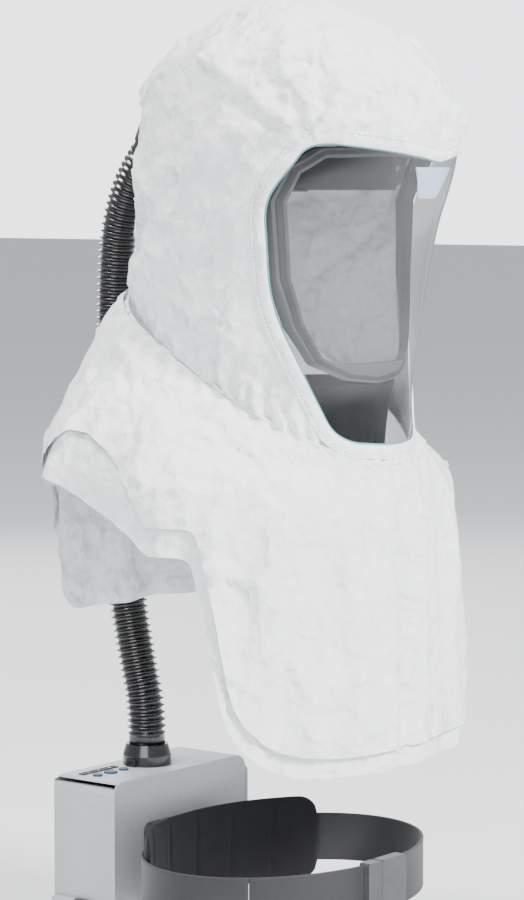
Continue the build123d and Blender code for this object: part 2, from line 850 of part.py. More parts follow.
filter_low = fan_floor + unit_wall
filter_high = unit_top - unit_corner - 2.0
with BuildPart() as housing:
    block(-unit_half_width, unit_half_width, unit_front, unit_back, unit_bottom, unit_top)
    fillet(housing.edges().filter_by(Axis.Y), radius=unit_corner)
    fillet(housing.faces().sort_by(Axis.Y)[-1].edges(), radius=6)
    block(
        -unit_half_width + unit_wall, filter_wall_x, inner_front, inner_back,
        fan_floor, unit_top - unit_wall, Mode.SUBTRACT,
    )
    block(
        filter_wall_x + unit_wall, unit_half_width + 1, inner_front, inner_back - 2,
        filter_low, filter_high, Mode.SUBTRACT,
    )
    block(
        filter_wall_x - 1, filter_wall_x + unit_wall + 1,
        inner_front + 4, inner_back - 10,
        filter_low + 8, filter_low + 8 + intake_height, Mode.SUBTRACT,
    )
    bay_end = -unit_half_width + battery_length + fit_gap
    block(-unit_half_width - 1, bay_end, inner_front + 1, inner_back - 3, bay_floor, bay_roof, Mode.SUBTRACT)
    with BuildSketch(Plane.XY.offset(unit_top)):
        with Locations((0, outlet_y)):
            Circle(outlet_radius + fit_gap)
        for x, radius in button_row:
            with Locations((x, unit_middle_y)):
                Circle(radius + fit_gap)
    extrude(amount=-unit_wall - 1, mode=Mode.SUBTRACT)

split_plane = Plane(origin=(0, unit_middle_y, 0), x_dir=(1, 0, 0), z_dir=(0, 1, 0))
screw_radius = 1.5
screw_places = [
    (x, z)
    for x in (-unit_half_width + 9, unit_half_width - 9)
    for z in (unit_bottom + 6.5, unit_top - 7.5)
]
screw_plane = Plane.XZ.offset(-unit_back)
with BuildPart() as housing_drilled:
    add(housing.part)
    with BuildSketch(screw_plane):
        for x, z in screw_places:
            with Locations((x, z)):
                Circle(screw_radius + running_gap)
    extrude(amount=unit_thickness - 8, mode=Mode.SUBTRACT)

with BuildPart() as blower_housing_front:
    add(housing_drilled.part)
    split(bisect_by=split_plane, keep=Keep.BOTTOM)
finish(blower_housing_front, "blower_housing_front")

with BuildPart() as blower_housing_back:
    add(housing_drilled.part)
    split(bisect_by=split_plane, keep=Keep.TOP)
finish(blower_housing_back, "blower_housing_back")

with BuildPart() as housing_screws:
    with BuildSketch(screw_plane):
        for x, z in screw_places:
            with Locations((x, z)):
                Circle(screw_radius)
    extrude(amount=unit_thickness - 9)
    with BuildSketch(screw_plane):
        for x, z in screw_places:
            with Locations((x, z)):
                Circle(3.0)
    extrude(amount=-1.6)
finish(housing_screws, "housing_screws")

# outlet spigot through the top wall
spigot_wall = 2.0
spigot_height = 15.0
with BuildPart() as outlet_spigot:
    with BuildSketch(Plane.XY.offset(unit_top - unit_wall - fit_gap - 3)):
        with Locations((0, outlet_y)):
            Circle(outlet_radius + 4)
            Circle(outlet_radius - spigot_wall, mode=Mode.SUBTRACT)
    extrude(amount=3)
    with BuildSketch(Plane.XY.offset(unit_top - unit_wall - fit_gap - 3)):
        with Locations((0, outlet_y)):
            Circle(outlet_radius)
            Circle(outlet_radius - spigot_wall, mode=Mode.SUBTRACT)
    extrude(amount=3 + fit_gap + unit_wall + spigot_height)
finish(outlet_spigot, "outlet_spigot")

# lower cuff: turns on the spigot to lock
hose_end_height = hose_points[-1][2]
with BuildPart() as lower_cuff:
    cuff_low = unit_top + fit_gap
    cuff_high = hose_end_height - fit_gap
    bore = outlet_radius + fit_gap
    with BuildSketch(Plane(origin=(0, outlet_y, 0), x_dir=(1, 0, 0), z_dir=(0, -1, 0))):
        with BuildLine():
            Polyline(
                (bore, cuff_low),
                (hose_radius + 5, cuff_low),
                (hose_radius + 5, cuff_low + 10),
                (hose_radius + 1.5, cuff_high),
                (hose_bore, cuff_high),
                (hose_bore, cuff_high - 3),
                (bore, cuff_high - 3),
                close=True,
            )
        make_face()
    revolve(axis=Axis((0, outlet_y, 0), (0, 0, 1)))
    with BuildSketch(Plane.XY.offset(cuff_low)):
        with Locations((0, outlet_y)):
            with PolarLocations(hose_radius + 5, 2):
                RectangleRounded(5, 12, 1.5)
    extrude(amount=8)
finish(lower_cuff, "lower_cuff")

# volute, impeller and motor
volute_radius = 46.0
volute_wall = 2.0
volute_intake = 24.0
volute_front = outlet_y - outlet_radius - volute_wall
volute_back = outlet_y + outlet_radius + volute_wall
fan_x, fan_z = fan_centre
volute_top = unit_top - unit_wall - 2 * fit_gap - 3
with BuildPart() as volute:
    with BuildSketch(Plane.XZ.offset(-volute_back)):
        with Locations((fan_x, fan_z)):
            Circle(volute_radius)
    extrude(amount=volute_back - volute_front)
    block(
        -outlet_radius - volute_wall, outlet_radius + volute_wall,
        volute_front, volute_back, fan_z, volute_top,
    )
    with BuildSketch(Plane.XZ.offset(-volute_back + volute_wall)):
        with Locations((fan_x, fan_z)):
            Circle(volute_radius - volute_wall)
    extrude(amount=volute_back - volute_front - 2 * volute_wall, mode=Mode.SUBTRACT)
    block(
        -outlet_radius, outlet_radius,
        volute_front + volute_wall, volute_back - volute_wall, fan_z + 2, volute_top + 1, Mode.SUBTRACT,
    )
    with BuildSketch(Plane.XZ.offset(-volute_front - volute_wall - 1)):
        with Locations((fan_x, fan_z)):
            Circle(volute_intake)
    extrude(amount=volute_wall + 2, mode=Mode.SUBTRACT)
    with BuildSketch(Plane.XZ.offset(-volute_back - 1)):
        with Locations((fan_x, fan_z)):
            Circle(shaft_radius + 1)
    extrude(amount=volute_wall + 2, mode=Mode.SUBTRACT)
finish(volute, "volute")

impeller_back = outlet_y + impeller_width / 2
motor_front = volute_back + fit_gap
motor_back = inner_back - fit_gap
with BuildPart() as impeller:
    with BuildSketch(Plane.XZ.offset(-impeller_back)):
        with Locations((fan_x, fan_z)):
            Circle(impeller_radius)
    extrude(amount=1.6)
    with BuildSketch(Plane.XZ.offset(-impeller_back)):
        with Locations((fan_x, fan_z)):
            Circle(8)
            with PolarLocations(24, blade_count):
                with Locations(Location((0, 0), 28)):
                    Rectangle(22, 1.4)
    extrude(amount=impeller_width)
    with BuildSketch(Plane.XZ.offset(-motor_back + 3)):
        with Locations((fan_x, fan_z)):
            Circle(shaft_radius)
    extrude(amount=motor_back - 3 - impeller_back)
finish(impeller, "impeller")

with BuildPart() as motor:
    with BuildSketch(Plane.XZ.offset(-motor_back)):
        with Locations((fan_x, fan_z)):
            Circle(motor_radius)
    extrude(amount=motor_back - motor_front)
    with BuildSketch(Plane.XZ.offset(-motor_back + 2.5)):
        with Locations((fan_x, fan_z)):
            Circle(shaft_radius + running_gap)
    extrude(amount=motor_back, mode=Mode.SUBTRACT)
finish(motor, "motor")

# control board and its three buttons under the top wall
board_top = unit_top - 10.4
with BuildPart() as circuit_board:
    block(
        -unit_half_width + unit_wall + fit_gap, -outlet_radius - volute_wall - 4,
        unit_middle_y - 26, inner_back - fit_gap, board_top - 1.6, board_top,
    )
finish(circuit_board, "circuit_board")

button_names = ["flow_down_button", "power_button", "flow_up_button"]
for (x, radius), button_name in zip(button_row, button_names):
    with BuildPart() as button:
        with BuildSketch(Plane.XY.offset(unit_top - unit_wall - fit_gap)):
            with Locations((x, unit_middle_y)):
                Circle(radius)
        extrude(amount=unit_wall + fit_gap + button_press + 0.5)
        fillet(button.faces().sort_by(Axis.Z)[-1].edges(), radius=0.6)
        with BuildSketch(Plane.XY.offset(unit_top - unit_wall - fit_gap)):
            with Locations((x, unit_middle_y)):
                Circle(radius + 1.2)
        extrude(amount=-1.2)
        with BuildSketch(Plane.XY.offset(unit_top - unit_wall - fit_gap - 1.2)):
            with Locations((x, unit_middle_y)):
                Circle(1.8)
        extrude(amount=board_top + button_press + fit_gap - (unit_top - unit_wall - fit_gap - 1.2))
    finish(button, button_name)


# ---------------------------------------------------------------- filter side and battery side
lip = 3.0                          # the end plates overlap the bay's edge by this much
plate_thickness = 3.6
latch_half = 9.0
latch_travel = 2.5
latch_depth = 3.0


def end_plate(side, y_low, y_high, z_low, z_high, plug_depth):
    # cover over a bay's mouth, with a notch for its latch in the upper edge
    face = side * (unit_half_width + fit_gap)
    outer = side * (unit_half_width + fit_gap + plate_thickness)
    inner = side * (unit_half_width - plug_depth)
    middle = (y_low + y_high) / 2
    with BuildPart() as plate:
        block(min(face, outer), max(face, outer), y_low - lip, y_high + lip, z_low - lip, z_high + lip)
        fillet(plate.edges().filter_by(Axis.X), radius=5)
        block(
            min(inner, face), max(inner, face),
            y_low + fit_gap, y_high - fit_gap, z_low + fit_gap, z_high - fit_gap,
        )
        block(
            min(face, outer + side), max(face, outer + side),
            middle - latch_half - fit_gap, middle + latch_half + fit_gap,
            z_high - latch_depth - latch_travel - fit_gap, z_high + lip + 1, Mode.SUBTRACT,
        )
    return plate


def end_latch(side, y_low, y_high, z_high):
    face = side * (unit_half_width + 2 * fit_gap)
    outer = side * (unit_half_width + plate_thickness + 1.2)
    middle = (y_low + y_high) / 2
    with BuildPart() as latch:
        block(
            min(face, outer), max(face, outer),
            middle - latch_half, middle + latch_half, z_high - latch_depth, z_high + lip + 0.5,
        )
        fillet(latch.edges().filter_by(Axis.X), radius=1)
    return latch


filter_y = (inner_front, inner_back - 2)
cover_plug = 3.0
prefilter_thickness = 3.0
louvre_count = 7
louvre_step = (filter_high - filter_low - 34) / (louvre_count - 1)
with BuildPart() as filter_cover:
    add(end_plate(1, *filter_y, filter_low, filter_high, cover_plug).part)
    with BuildSketch(Plane.YZ.offset(unit_half_width - cover_plug - 1)):
        for k in range(louvre_count):
            with Locations(((filter_y[0] + filter_y[1]) / 2, filter_low + 12 + k * louvre_step)):
                SlotOverall(filter_y[1] - filter_y[0] - 20, 5)
    extrude(amount=plate_thickness + cover_plug + 2, mode=Mode.SUBTRACT)
finish(filter_cover, "filter_cover")
cover_latch = end_latch(1, *filter_y, filter_high)
finish(cover_latch, "cover_latch")

with BuildPart() as prefilter:
    high_x = unit_half_width - cover_plug - fit_gap
    block(
        high_x - prefilter_thickness, high_x,
        filter_y[0] + fit_gap, filter_y[1] - fit_gap, filter_low + fit_gap, filter_high - fit_gap,
    )
finish(prefilter, "prefilter")

with BuildPart() as filter_cartridge:
    high_x = unit_half_width - cover_plug - 2 * fit_gap - prefilter_thickness
    block(
        filter_wall_x + unit_wall + fit_gap, high_x,
        filter_y[0] + fit_gap, filter_y[1] - fit_gap, filter_low + fit_gap, filter_high - fit_gap,
    )
    fillet(filter_cartridge.edges().filter_by(Axis.X), radius=2)
finish(filter_cartridge, "filter_cartridge")

battery_y = (inner_front + 1, inner_back - 3)
battery_case = end_plate(-1, *battery_y, bay_floor, bay_roof, battery_length)
finish(battery_case, "battery_case")
battery_latch = end_latch(-1, *battery_y, bay_roof)
finish(battery_latch, "battery_latch")


# ---------------------------------------------------------------- belt
def belt_ring(inset, outset, height):
    with BuildPart() as ring:
        with BuildSketch(Plane.XY.offset(belt_height - height / 2)):
            with Locations((0, belt_centre_y)):
                Ellipse(belt_half_width + outset, belt_half_depth + outset)
                Ellipse(belt_half_width - inset, belt_half_depth - inset, mode=Mode.SUBTRACT)
        extrude(amount=height)
    return ring.part


belt_front = belt_centre_y - belt_half_depth
tail_end_y = -50.0
with BuildPart() as belt:
    add(belt_ring(0, belt_thickness, belt_width))
    block(
        -belt_half_width - 5, buckle_width / 2 + fit_gap,
        belt_front - 20, tail_end_y, belt_height - belt_width, belt_height + belt_width, Mode.SUBTRACT,
    )
finish(belt, "belt")

with BuildPart() as belt_tail:
    add(belt_ring(0, belt_thickness, belt_width))
    block(
        -belt_half_width - 5, -buckle_width / 2 - fit_gap,
        belt_front - 20, tail_end_y - fit_gap, belt_height - belt_width, belt_height + belt_width,
        Mode.INTERSECT,
    )
finish(belt_tail, "belt_tail")

plug_end = -9.0
buckle_y = belt_front - belt_thickness / 2
prong_thickness = 5.0
prong_rows = ((-16.0, 8.0), (0.0, 12.0), (16.0, 8.0))
with BuildPart() as buckle_plug:
    with BuildSketch(Plane.XZ.offset(-buckle_y - buckle_thickness / 2)):
        with Locations(((plug_end - buckle_width / 2) / 2, belt_height)):
            RectangleRounded(plug_end + buckle_width / 2, belt_width + 4, 3)
    extrude(amount=buckle_thickness)
    for z, width in prong_rows:
        block(
            plug_end - 1, plug_end + prong_length,
            buckle_y - prong_thickness / 2, buckle_y + prong_thickness / 2,
            belt_height + z - width / 2, belt_height + z + width / 2,
        )
finish(buckle_plug, "buckle_plug")

with BuildPart() as buckle_socket:
    with BuildSketch(Plane.XZ.offset(-buckle_y - buckle_thickness / 2)):
        with Locations(((plug_end + fit_gap + buckle_width / 2) / 2, belt_height)):
            RectangleRounded(buckle_width / 2 - plug_end - fit_gap, belt_width + 4, 3)
    extrude(amount=buckle_thickness)
    for z, width in prong_rows:
        block(
            plug_end - 1, plug_end + prong_length + fit_gap,
            buckle_y - prong_thickness / 2 - fit_gap, buckle_y + prong_thickness / 2 + fit_gap,
            belt_height + z - width / 2 - fit_gap, belt_height + z + width / 2 + fit_gap, Mode.SUBTRACT,
        )
finish(buckle_socket, "buckle_socket")

plate_half_width = 60.0
with BuildPart() as belt_plate:
    block(
        -plate_half_width, plate_half_width,
        belt_centre_y + belt_half_depth + belt_thickness + fit_gap, unit_front - fit_gap,
        belt_height - 38, belt_height + 38,
    )
    fillet(belt_plate.edges().filter_by(Axis.Y), radius=8)
finish(belt_plate, "belt_plate")

with BuildPart() as back_pad:
    add(belt_ring(8, -fit_gap, 90))
    block(-reach, reach, 70, reach, belt_height - 60, belt_height + 60, Mode.INTERSECT)
finish(back_pad, "back_pad")
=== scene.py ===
import bisect
import json
import math
import bmesh
import bpy
from mathutils import Matrix, Vector, noise


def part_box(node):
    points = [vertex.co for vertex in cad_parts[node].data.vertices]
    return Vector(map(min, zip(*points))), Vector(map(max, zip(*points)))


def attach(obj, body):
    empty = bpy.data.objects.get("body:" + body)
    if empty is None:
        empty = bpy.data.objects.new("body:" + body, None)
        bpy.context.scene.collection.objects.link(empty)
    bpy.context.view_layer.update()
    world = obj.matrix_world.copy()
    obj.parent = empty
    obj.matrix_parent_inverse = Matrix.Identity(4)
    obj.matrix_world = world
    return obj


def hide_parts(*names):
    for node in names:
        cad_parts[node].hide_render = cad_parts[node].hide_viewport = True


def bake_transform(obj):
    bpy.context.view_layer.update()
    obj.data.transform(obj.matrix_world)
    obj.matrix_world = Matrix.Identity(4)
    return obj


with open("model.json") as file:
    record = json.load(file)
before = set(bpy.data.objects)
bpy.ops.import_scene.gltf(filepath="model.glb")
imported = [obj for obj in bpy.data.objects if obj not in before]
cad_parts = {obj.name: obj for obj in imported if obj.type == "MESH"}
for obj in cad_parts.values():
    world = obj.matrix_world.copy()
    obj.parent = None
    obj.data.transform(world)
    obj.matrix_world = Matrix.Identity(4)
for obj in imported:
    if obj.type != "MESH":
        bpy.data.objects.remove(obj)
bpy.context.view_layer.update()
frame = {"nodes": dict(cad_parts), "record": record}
parts = frame["nodes"]
slotOf = {row["node"]: row["material_slot"] for row in frame["record"]["subparts"]}
mm = 0.001
print("frame loaded,", len(parts), "nodes")

# camera at the height of the hood, looking a little down
studio = {
    "target": (-0.021, 0.027, -0.270), "away": (-0.788, -0.616), "rise": 5.0, "distance": 3.0,
    "lens": 122.0, "sensor": 36.0, "floorHeight": -0.791, "floorSize": 60.0, "worldStrength": 0.8, "wallStrength": 3.2,
}
lamps = {
    "keyLamp": {"place": (0.1, -3.1, 1.7), "size": (0.9, 0.9), "power": 330},
    "fillLamp": {"place": (-3.0, -1.2, 0.9), "size": (2.2, 1.8), "power": 75},
    "topLamp": {"place": (-0.7, 0.9, 3.0), "size": (1.0, 1.0), "power": 170},
    "backLamp": {"place": (2.2, 2.6, 1.0), "size": (2.0, 1.6), "power": 60},
}


def linkObject(thing):
    bpy.context.scene.collection.objects.link(thing)
    return thing


def aimAt(thing, place, aim):
    thing.location = place
    thing.rotation_euler = (Vector(place) - Vector(aim)).to_track_quat("Z", "Y").to_euler()


def makeStudio():
    rise = math.radians(studio["rise"])
    side = studio["away"]
    back = Vector((side[0] * math.cos(rise), side[1] * math.cos(rise), math.sin(rise)))
    data = bpy.data.cameras.new("studioCamera")
    data.lens, data.sensor_width, data.clip_end = studio["lens"], studio["sensor"], 200
    camera = linkObject(bpy.data.objects.new("studioCamera", data))
    target = Vector(studio["target"])
    aimAt(camera, target + back * studio["distance"], target)
    bpy.context.scene.camera = camera
    for name, lamp in lamps.items():
        data = bpy.data.lights.new(name, "AREA")
        data.shape, data.energy = "RECTANGLE", lamp["power"]
        data.size, data.size_y = lamp["size"]
        aimAt(linkObject(bpy.data.objects.new(name, data)), lamp["place"], target)
    world = bpy.data.worlds.new("paleRoom")
    world.use_nodes = True
    tree = world.node_tree
    ground = tree.nodes["Background"]
    ground.inputs["Color"].default_value = (0.93, 0.95, 1.0, 1)
    # the wall behind the object is brighter than the light that it gives
    seen = tree.nodes.new("ShaderNodeLightPath").outputs["Is Camera Ray"]
    level = tree.nodes.new("ShaderNodeMapRange")
    level.inputs["To Min"].default_value = studio["worldStrength"]
    level.inputs["To Max"].default_value = studio["wallStrength"]
    tree.links.new(seen, level.inputs["Value"])
    tree.links.new(level.outputs[0], ground.inputs["Strength"])
    bpy.context.scene.world = world


makeStudio()
print("camera and lamps placed")


def newGroup(name, inputs, outputs):
    tree = bpy.data.node_groups.new(name, "ShaderNodeTree")
    for label, kind, value in inputs:
        gate = tree.interface.new_socket(name=label, in_out="INPUT", socket_type="NodeSocket" + kind)
        if value is not None:
            gate.default_value = value
    for label, kind in outputs:
        tree.interface.new_socket(name=label, in_out="OUTPUT", socket_type="NodeSocket" + kind)
    return tree, tree.nodes.new("NodeGroupInput"), tree.nodes.new("NodeGroupOutput")


def addNode(tree, kind, links=None, **settings):
    node = tree.nodes.new("ShaderNode" + kind)
    for key, value in settings.items():
        setattr(node, key, value)
    for key, value in (links or {}).items():
        if isinstance(value, bpy.types.NodeSocket):
            tree.links.new(value, node.inputs[key])
        else:
            node.inputs[key].default_value = value
    return node


def sumOf(tree, first, second, operation="ADD", third=None):
    links = {0: first, 1: second}
    if third is not None:
        links[2] = third
    return addNode(tree, "Math", links, operation=operation).outputs[0]


def makeGrainGroup():
    # fine uneven grain: a value between two limits, and a height
    tree, gate, out = newGroup(
        "fineGrain",
        [("Vector", "Vector", None), ("Scale", "Float", 400.0), ("Low", "Float", 0.3), ("High", "Float", 0.5)],
        [("Value", "Float"), ("Height", "Float")])
    grain = addNode(tree, "TexNoise", {"Vector": gate.outputs["Vector"], "Scale": gate.outputs["Scale"], "Detail": 5.0})
    spread = addNode(tree, "MapRange", {
        "Value": grain.outputs[0], "From Min": 0.3, "From Max": 0.7,
        "To Min": gate.outputs["Low"], "To Max": gate.outputs["High"]})
    tree.links.new(spread.outputs[0], out.inputs["Value"])
    tree.links.new(grain.outputs[0], out.inputs["Height"])
    return tree


def makeCrumpleGroup():
    # crumpled film: flat facets tilted at random, pushed about by noise, at two sizes
    tree, gate, out = newGroup(
        "filmCrumple", [("Vector", "Vector", None), ("Scale", "Float", 30.0), ("Bend", "Float", 0.02)],
        [("Height", "Float")])
    drift = addNode(tree, "TexNoise", {"Vector": gate.outputs["Vector"], "Scale": 24.0, "Detail": 2.0})
    pull = addNode(tree, "VectorMath", {0: drift.outputs["Color"], 1: (0.5, 0.5, 0.5)}, operation="SUBTRACT")
    length = addNode(tree, "VectorMath", {0: pull.outputs[0], "Scale": gate.outputs["Bend"]}, operation="SCALE")
    moved = addNode(tree, "VectorMath", {0: gate.outputs["Vector"], 1: length.outputs[0]}, operation="ADD")
    total = None
    for times, share in ((1.0, 1.0), (2.7, 0.4)):
        scale = sumOf(tree, gate.outputs["Scale"], times, "MULTIPLY")
        cell = addNode(tree, "TexVoronoi", {"Vector": moved.outputs[0], "Scale": scale})
        away = addNode(tree, "VectorMath", {0: moved.outputs[0], 1: cell.outputs["Position"]}, operation="SUBTRACT")
        tilt = addNode(tree, "VectorMath", {0: cell.outputs["Color"], 1: (0.5, 0.5, 0.5)}, operation="SUBTRACT")
        slope = addNode(tree, "VectorMath", {0: away.outputs[0], 1: tilt.outputs[0]}, operation="DOT_PRODUCT")
        plane = sumOf(tree, slope.outputs["Value"], scale, "MULTIPLY")
        height = sumOf(tree, sumOf(tree, plane, 1.3, "MULTIPLY"), cell.outputs["Distance"])
        part = sumOf(tree, height, share, "MULTIPLY")
        total = part if total is None else sumOf(tree, total, part)
    tree.links.new(total, out.inputs["Height"])
    return tree


def makeWeaveGroup():
    # plain weave in two directions of the vector that comes in
    tree, gate, out = newGroup(
        "plainWeave", [("Vector", "Vector", None), ("Scale", "Float", 3000.0)], [("Height", "Float"), ("Mask", "Float")])
    split = addNode(tree, "SeparateXYZ", {0: gate.outputs["Vector"]})
    waves = []
    for axis in (0, 1):
        along = sumOf(tree, split.outputs[axis], gate.outputs["Scale"], "MULTIPLY")
        waves.append(sumOf(tree, along, 0.0, "SINE"))
    crossing = sumOf(tree, waves[0], waves[1], "MULTIPLY")
    ribs = sumOf(tree, sumOf(tree, waves[0], 0.0, "ABSOLUTE"), sumOf(tree, waves[1], 0.0, "ABSOLUTE"), "MAXIMUM")
    tree.links.new(ribs, out.inputs["Height"])
    tree.links.new(sumOf(tree, crossing, 0.5, "MULTIPLY_ADD", 0.5), out.inputs["Mask"])
    return tree


def makeWearGroup():
    # lighter, rubbed edges and faint dust
    tree, gate, out = newGroup(
        "rubbedEdges", [("Vector", "Vector", None), ("Amount", "Float", 0.5)], [("Mask", "Float"), ("Dust", "Float")])
    shape = addNode(tree, "NewGeometry")
    edge = addNode(tree, "MapRange", {"Value": shape.outputs["Pointiness"], "From Min": 0.52, "From Max": 0.62})
    patch = addNode(tree, "TexNoise", {"Vector": gate.outputs["Vector"], "Scale": 140.0, "Detail": 4.0})
    rubbed = sumOf(tree, edge.outputs[0], patch.outputs[0], "MULTIPLY")
    tree.links.new(sumOf(tree, rubbed, gate.outputs["Amount"], "MULTIPLY"), out.inputs["Mask"])
    dust = addNode(tree, "TexNoise", {"Vector": gate.outputs["Vector"], "Scale": 9.0, "Detail": 6.0})
    settled = addNode(tree, "MapRange", {"Value": dust.outputs[0], "From Min": 0.45, "From Max": 0.75})
    tree.links.new(settled.outputs[0], out.inputs["Dust"])
    return tree


grainGroup, crumpleGroup = makeGrainGroup(), makeCrumpleGroup()
weaveGroup, wearGroup = makeWeaveGroup(), makeWearGroup()


def placeGroup(tree, group, links):
    node = tree.nodes.new("ShaderNodeGroup")
    node.node_tree = group
    for key, value in links.items():
        if isinstance(value, bpy.types.NodeSocket):
            tree.links.new(value, node.inputs[key])
        else:
            node.inputs[key].default_value = value
    return node


def newMaterial(name, values):
    material = bpy.data.materials.new(name)
    material.use_nodes = True
    tree = material.node_tree
    shader = tree.nodes["Principled BSDF"]
    for key, value in values.items():
        shader.inputs[key].default_value = value
    where = addNode(tree, "TexCoord").outputs["Object"]
    return material, tree, shader, where


def blendColours(tree, share, first, second):
    node = addNode(tree, "Mix", {0: share}, data_type="RGBA")
    for key, value in ((6, first), (7, second)):
        if isinstance(value, bpy.types.NodeSocket):
            tree.links.new(value, node.inputs[key])
        else:
            node.inputs[key].default_value = (*value, 1)
    return node.outputs[2]


def bumpInto(tree, shader, height, strength, distance, before=None):
    links = {"Height": height, "Strength": strength, "Distance": distance}
    if before:
        links["Normal"] = before
    node = addNode(tree, "Bump", links)
    tree.links.new(node.outputs[0], shader.inputs["Normal"])
    return node.outputs[0]


def mouldedPlastic(name, look):
    material, tree, shader, where = newMaterial(name, look.get("values", {}))
    grain = placeGroup(tree, grainGroup, {
        "Vector": where, "Scale": look.get("grain", 900.0), "Low": look["rough"][0], "High": look["rough"][1]})
    wear = placeGroup(tree, wearGroup, {"Vector": where, "Amount": look.get("wear", 0.5)})
    colour = look["colour"]
    pale = tuple(min(1.0, c * 1.5 + 0.05) for c in colour)
    dusty = tuple(c * 0.9 + 0.02 for c in colour)
    body = blendColours(tree, sumOf(tree, wear.outputs["Dust"], 0.45, "MULTIPLY"), colour, dusty)
    tree.links.new(blendColours(tree, wear.outputs["Mask"], body, pale), shader.inputs["Base Color"])
    tree.links.new(grain.outputs["Value"], shader.inputs["Roughness"])
    bumpInto(tree, shader, grain.outputs["Height"], look.get("relief", 0.15), 0.0004)
    return material


def textile(name, look):
    # knitted or brushed cloth by Object coordinates, or woven webbing by its own UV map
    material, tree, shader, where = newMaterial(name, look.get("values", {}))
    woven = look.get("woven")
    vector = addNode(tree, "UVMap", uv_map="stripMap").outputs[0] if woven else where
    weave = placeGroup(tree, weaveGroup, {"Vector": vector, "Scale": look["scale"]})
    fuzz = placeGroup(tree, grainGroup, {
        "Vector": where, "Scale": look["scale"] * 0.6, "Low": look["rough"][0], "High": look["rough"][1]})
    stain = placeGroup(tree, wearGroup, {"Vector": where, "Amount": 0.3})
    threads = blendColours(tree, weave.outputs["Mask" if woven else "Height"], look["dark"], look["light"])
    worn = blendColours(
        tree, sumOf(tree, stain.outputs["Dust"], 0.35, "MULTIPLY"), threads, tuple(c * 1.3 + 0.01 for c in look["light"]))
    tree.links.new(worn, shader.inputs["Base Color"])
    tree.links.new(fuzz.outputs["Value"], shader.inputs["Roughness"])
    first = bumpInto(tree, shader, weave.outputs["Height"], look.get("relief", 0.35), 0.00022)
    bumpInto(tree, shader, fuzz.outputs["Height"], 0.3, 0.00006, first)
    return material


def hoodFilm(name, look):
    # spun-bonded white film: crumpled facets, faint fibres, and a greyer painted shade mixed into the colour in large
    # cloudy patches
    material, tree, shader, where = newMaterial(name, look["values"])
    crumple = placeGroup(tree, crumpleGroup, {"Vector": where, "Scale": look["crease"], "Bend": 0.03})
    fine = placeGroup(tree, crumpleGroup, {"Vector": where, "Scale": look["crease"] * 3.4, "Bend": 0.012})
    fibres = addNode(tree, "TexNoise", {
        "Vector": addNode(tree, "Mapping", {0: where, "Scale": (1.0, 1.0, 0.25)}).outputs[0],
        "Scale": look["fibre"], "Detail": 6.0})
    cloud = placeGroup(tree, grainGroup, {"Vector": where, "Scale": 22.0, "Low": look["rough"][0], "High": look["rough"][1]})
    # painted shade: the base colour is blended between the film colour and a greyer painted shade copy of it by large
    # cloudy noise
    body = blendColours(tree, cloud.outputs["Height"], look["shade"], look["colour"])
    thread = addNode(tree, "MapRange", {"Value": fibres.outputs[0], "From Min": 0.55, "From Max": 0.75, "To Max": 0.5})
    tree.links.new(blendColours(tree, thread.outputs[0], body, look["fibreColour"]), shader.inputs["Base Color"])
    tree.links.new(cloud.outputs["Value"], shader.inputs["Roughness"])
    first = bumpInto(tree, shader, crumple.outputs["Height"], look["relief"], 0.010)
    second = bumpInto(tree, shader, fine.outputs["Height"], look["relief"] * 0.55, 0.0035, first)
    bumpInto(tree, shader, fibres.outputs[0], 0.12, 0.0006, second)
    return material


plasticLooks = {
    "tab_film": {"colour": (0.33, 0.43, 0.52), "rough": (0.25, 0.38), "wear": 0.1, "values": {"Coat Weight": 0.3}},
    "frame_grey": {"colour": (0.075, 0.08, 0.088), "rough": (0.34, 0.48)},
    "seal_black": {"colour": (0.012, 0.012, 0.013), "rough": (0.45, 0.6)},
    "amber_clip": {"colour": (0.62, 0.30, 0.05), "rough": (0.25, 0.4), "values": {"Coat Weight": 0.25}},
    "strap_grey": {"colour": (0.03, 0.032, 0.036), "rough": (0.45, 0.62)},
    "ratchet_grey": {"colour": (0.10, 0.105, 0.11), "rough": (0.35, 0.5)},
    "white_nylon": {"colour": (0.72, 0.72, 0.70), "rough": (0.35, 0.5)},
    "collar_grey": {"colour": (0.55, 0.58, 0.60), "rough": (0.22, 0.36),
                    "values": {"Coat Weight": 0.35, "Subsurface Weight": 0.25, "Subsurface Scale": 0.01}},
    "release_blue": {"colour": (0.012, 0.085, 0.36), "rough": (0.25, 0.4), "values": {"Coat Weight": 0.3}},
    "hose_black": {"colour": (0.0055, 0.0055, 0.006), "rough": (0.16, 0.3), "grain": 500.0, "wear": 0.12,
                   "values": {"Coat Weight": 0.4, "Coat Roughness": 0.15}},
    "unit_shell": {"colour": (0.36, 0.38, 0.39), "rough": (0.45, 0.6), "grain": 1400.0, "relief": 0.3},
    "unit_trim": {"colour": (0.035, 0.038, 0.042), "rough": (0.4, 0.58), "grain": 1200.0, "relief": 0.3},
    "steel": {"colour": (0.55, 0.55, 0.56), "rough": (0.22, 0.38), "values": {"Metallic": 1.0}},
    "board_green": {"colour": (0.010, 0.10, 0.045), "rough": (0.3, 0.45), "values": {"Coat Weight": 0.5}},
    "button_rubber": {"colour": (0.03, 0.10, 0.16), "rough": (0.6, 0.75)},
    "filter_media": {"colour": (0.62, 0.60, 0.52), "rough": (0.8, 0.95), "relief": 0.5},
    "seam_thread": {"colour": (0.20, 0.215, 0.23), "rough": (0.6, 0.8)},
    "visor_edge": {"colour": (0.10, 0.34, 0.36), "rough": (0.15, 0.3), "values": {"Coat Weight": 0.4}},
    "lamp_green": {"colour": (0.05, 0.42, 0.12), "rough": (0.1, 0.2), "values": {"Coat Weight": 0.6}},
}
materials = {slot: mouldedPlastic(slot, look) for slot, look in plasticLooks.items()}
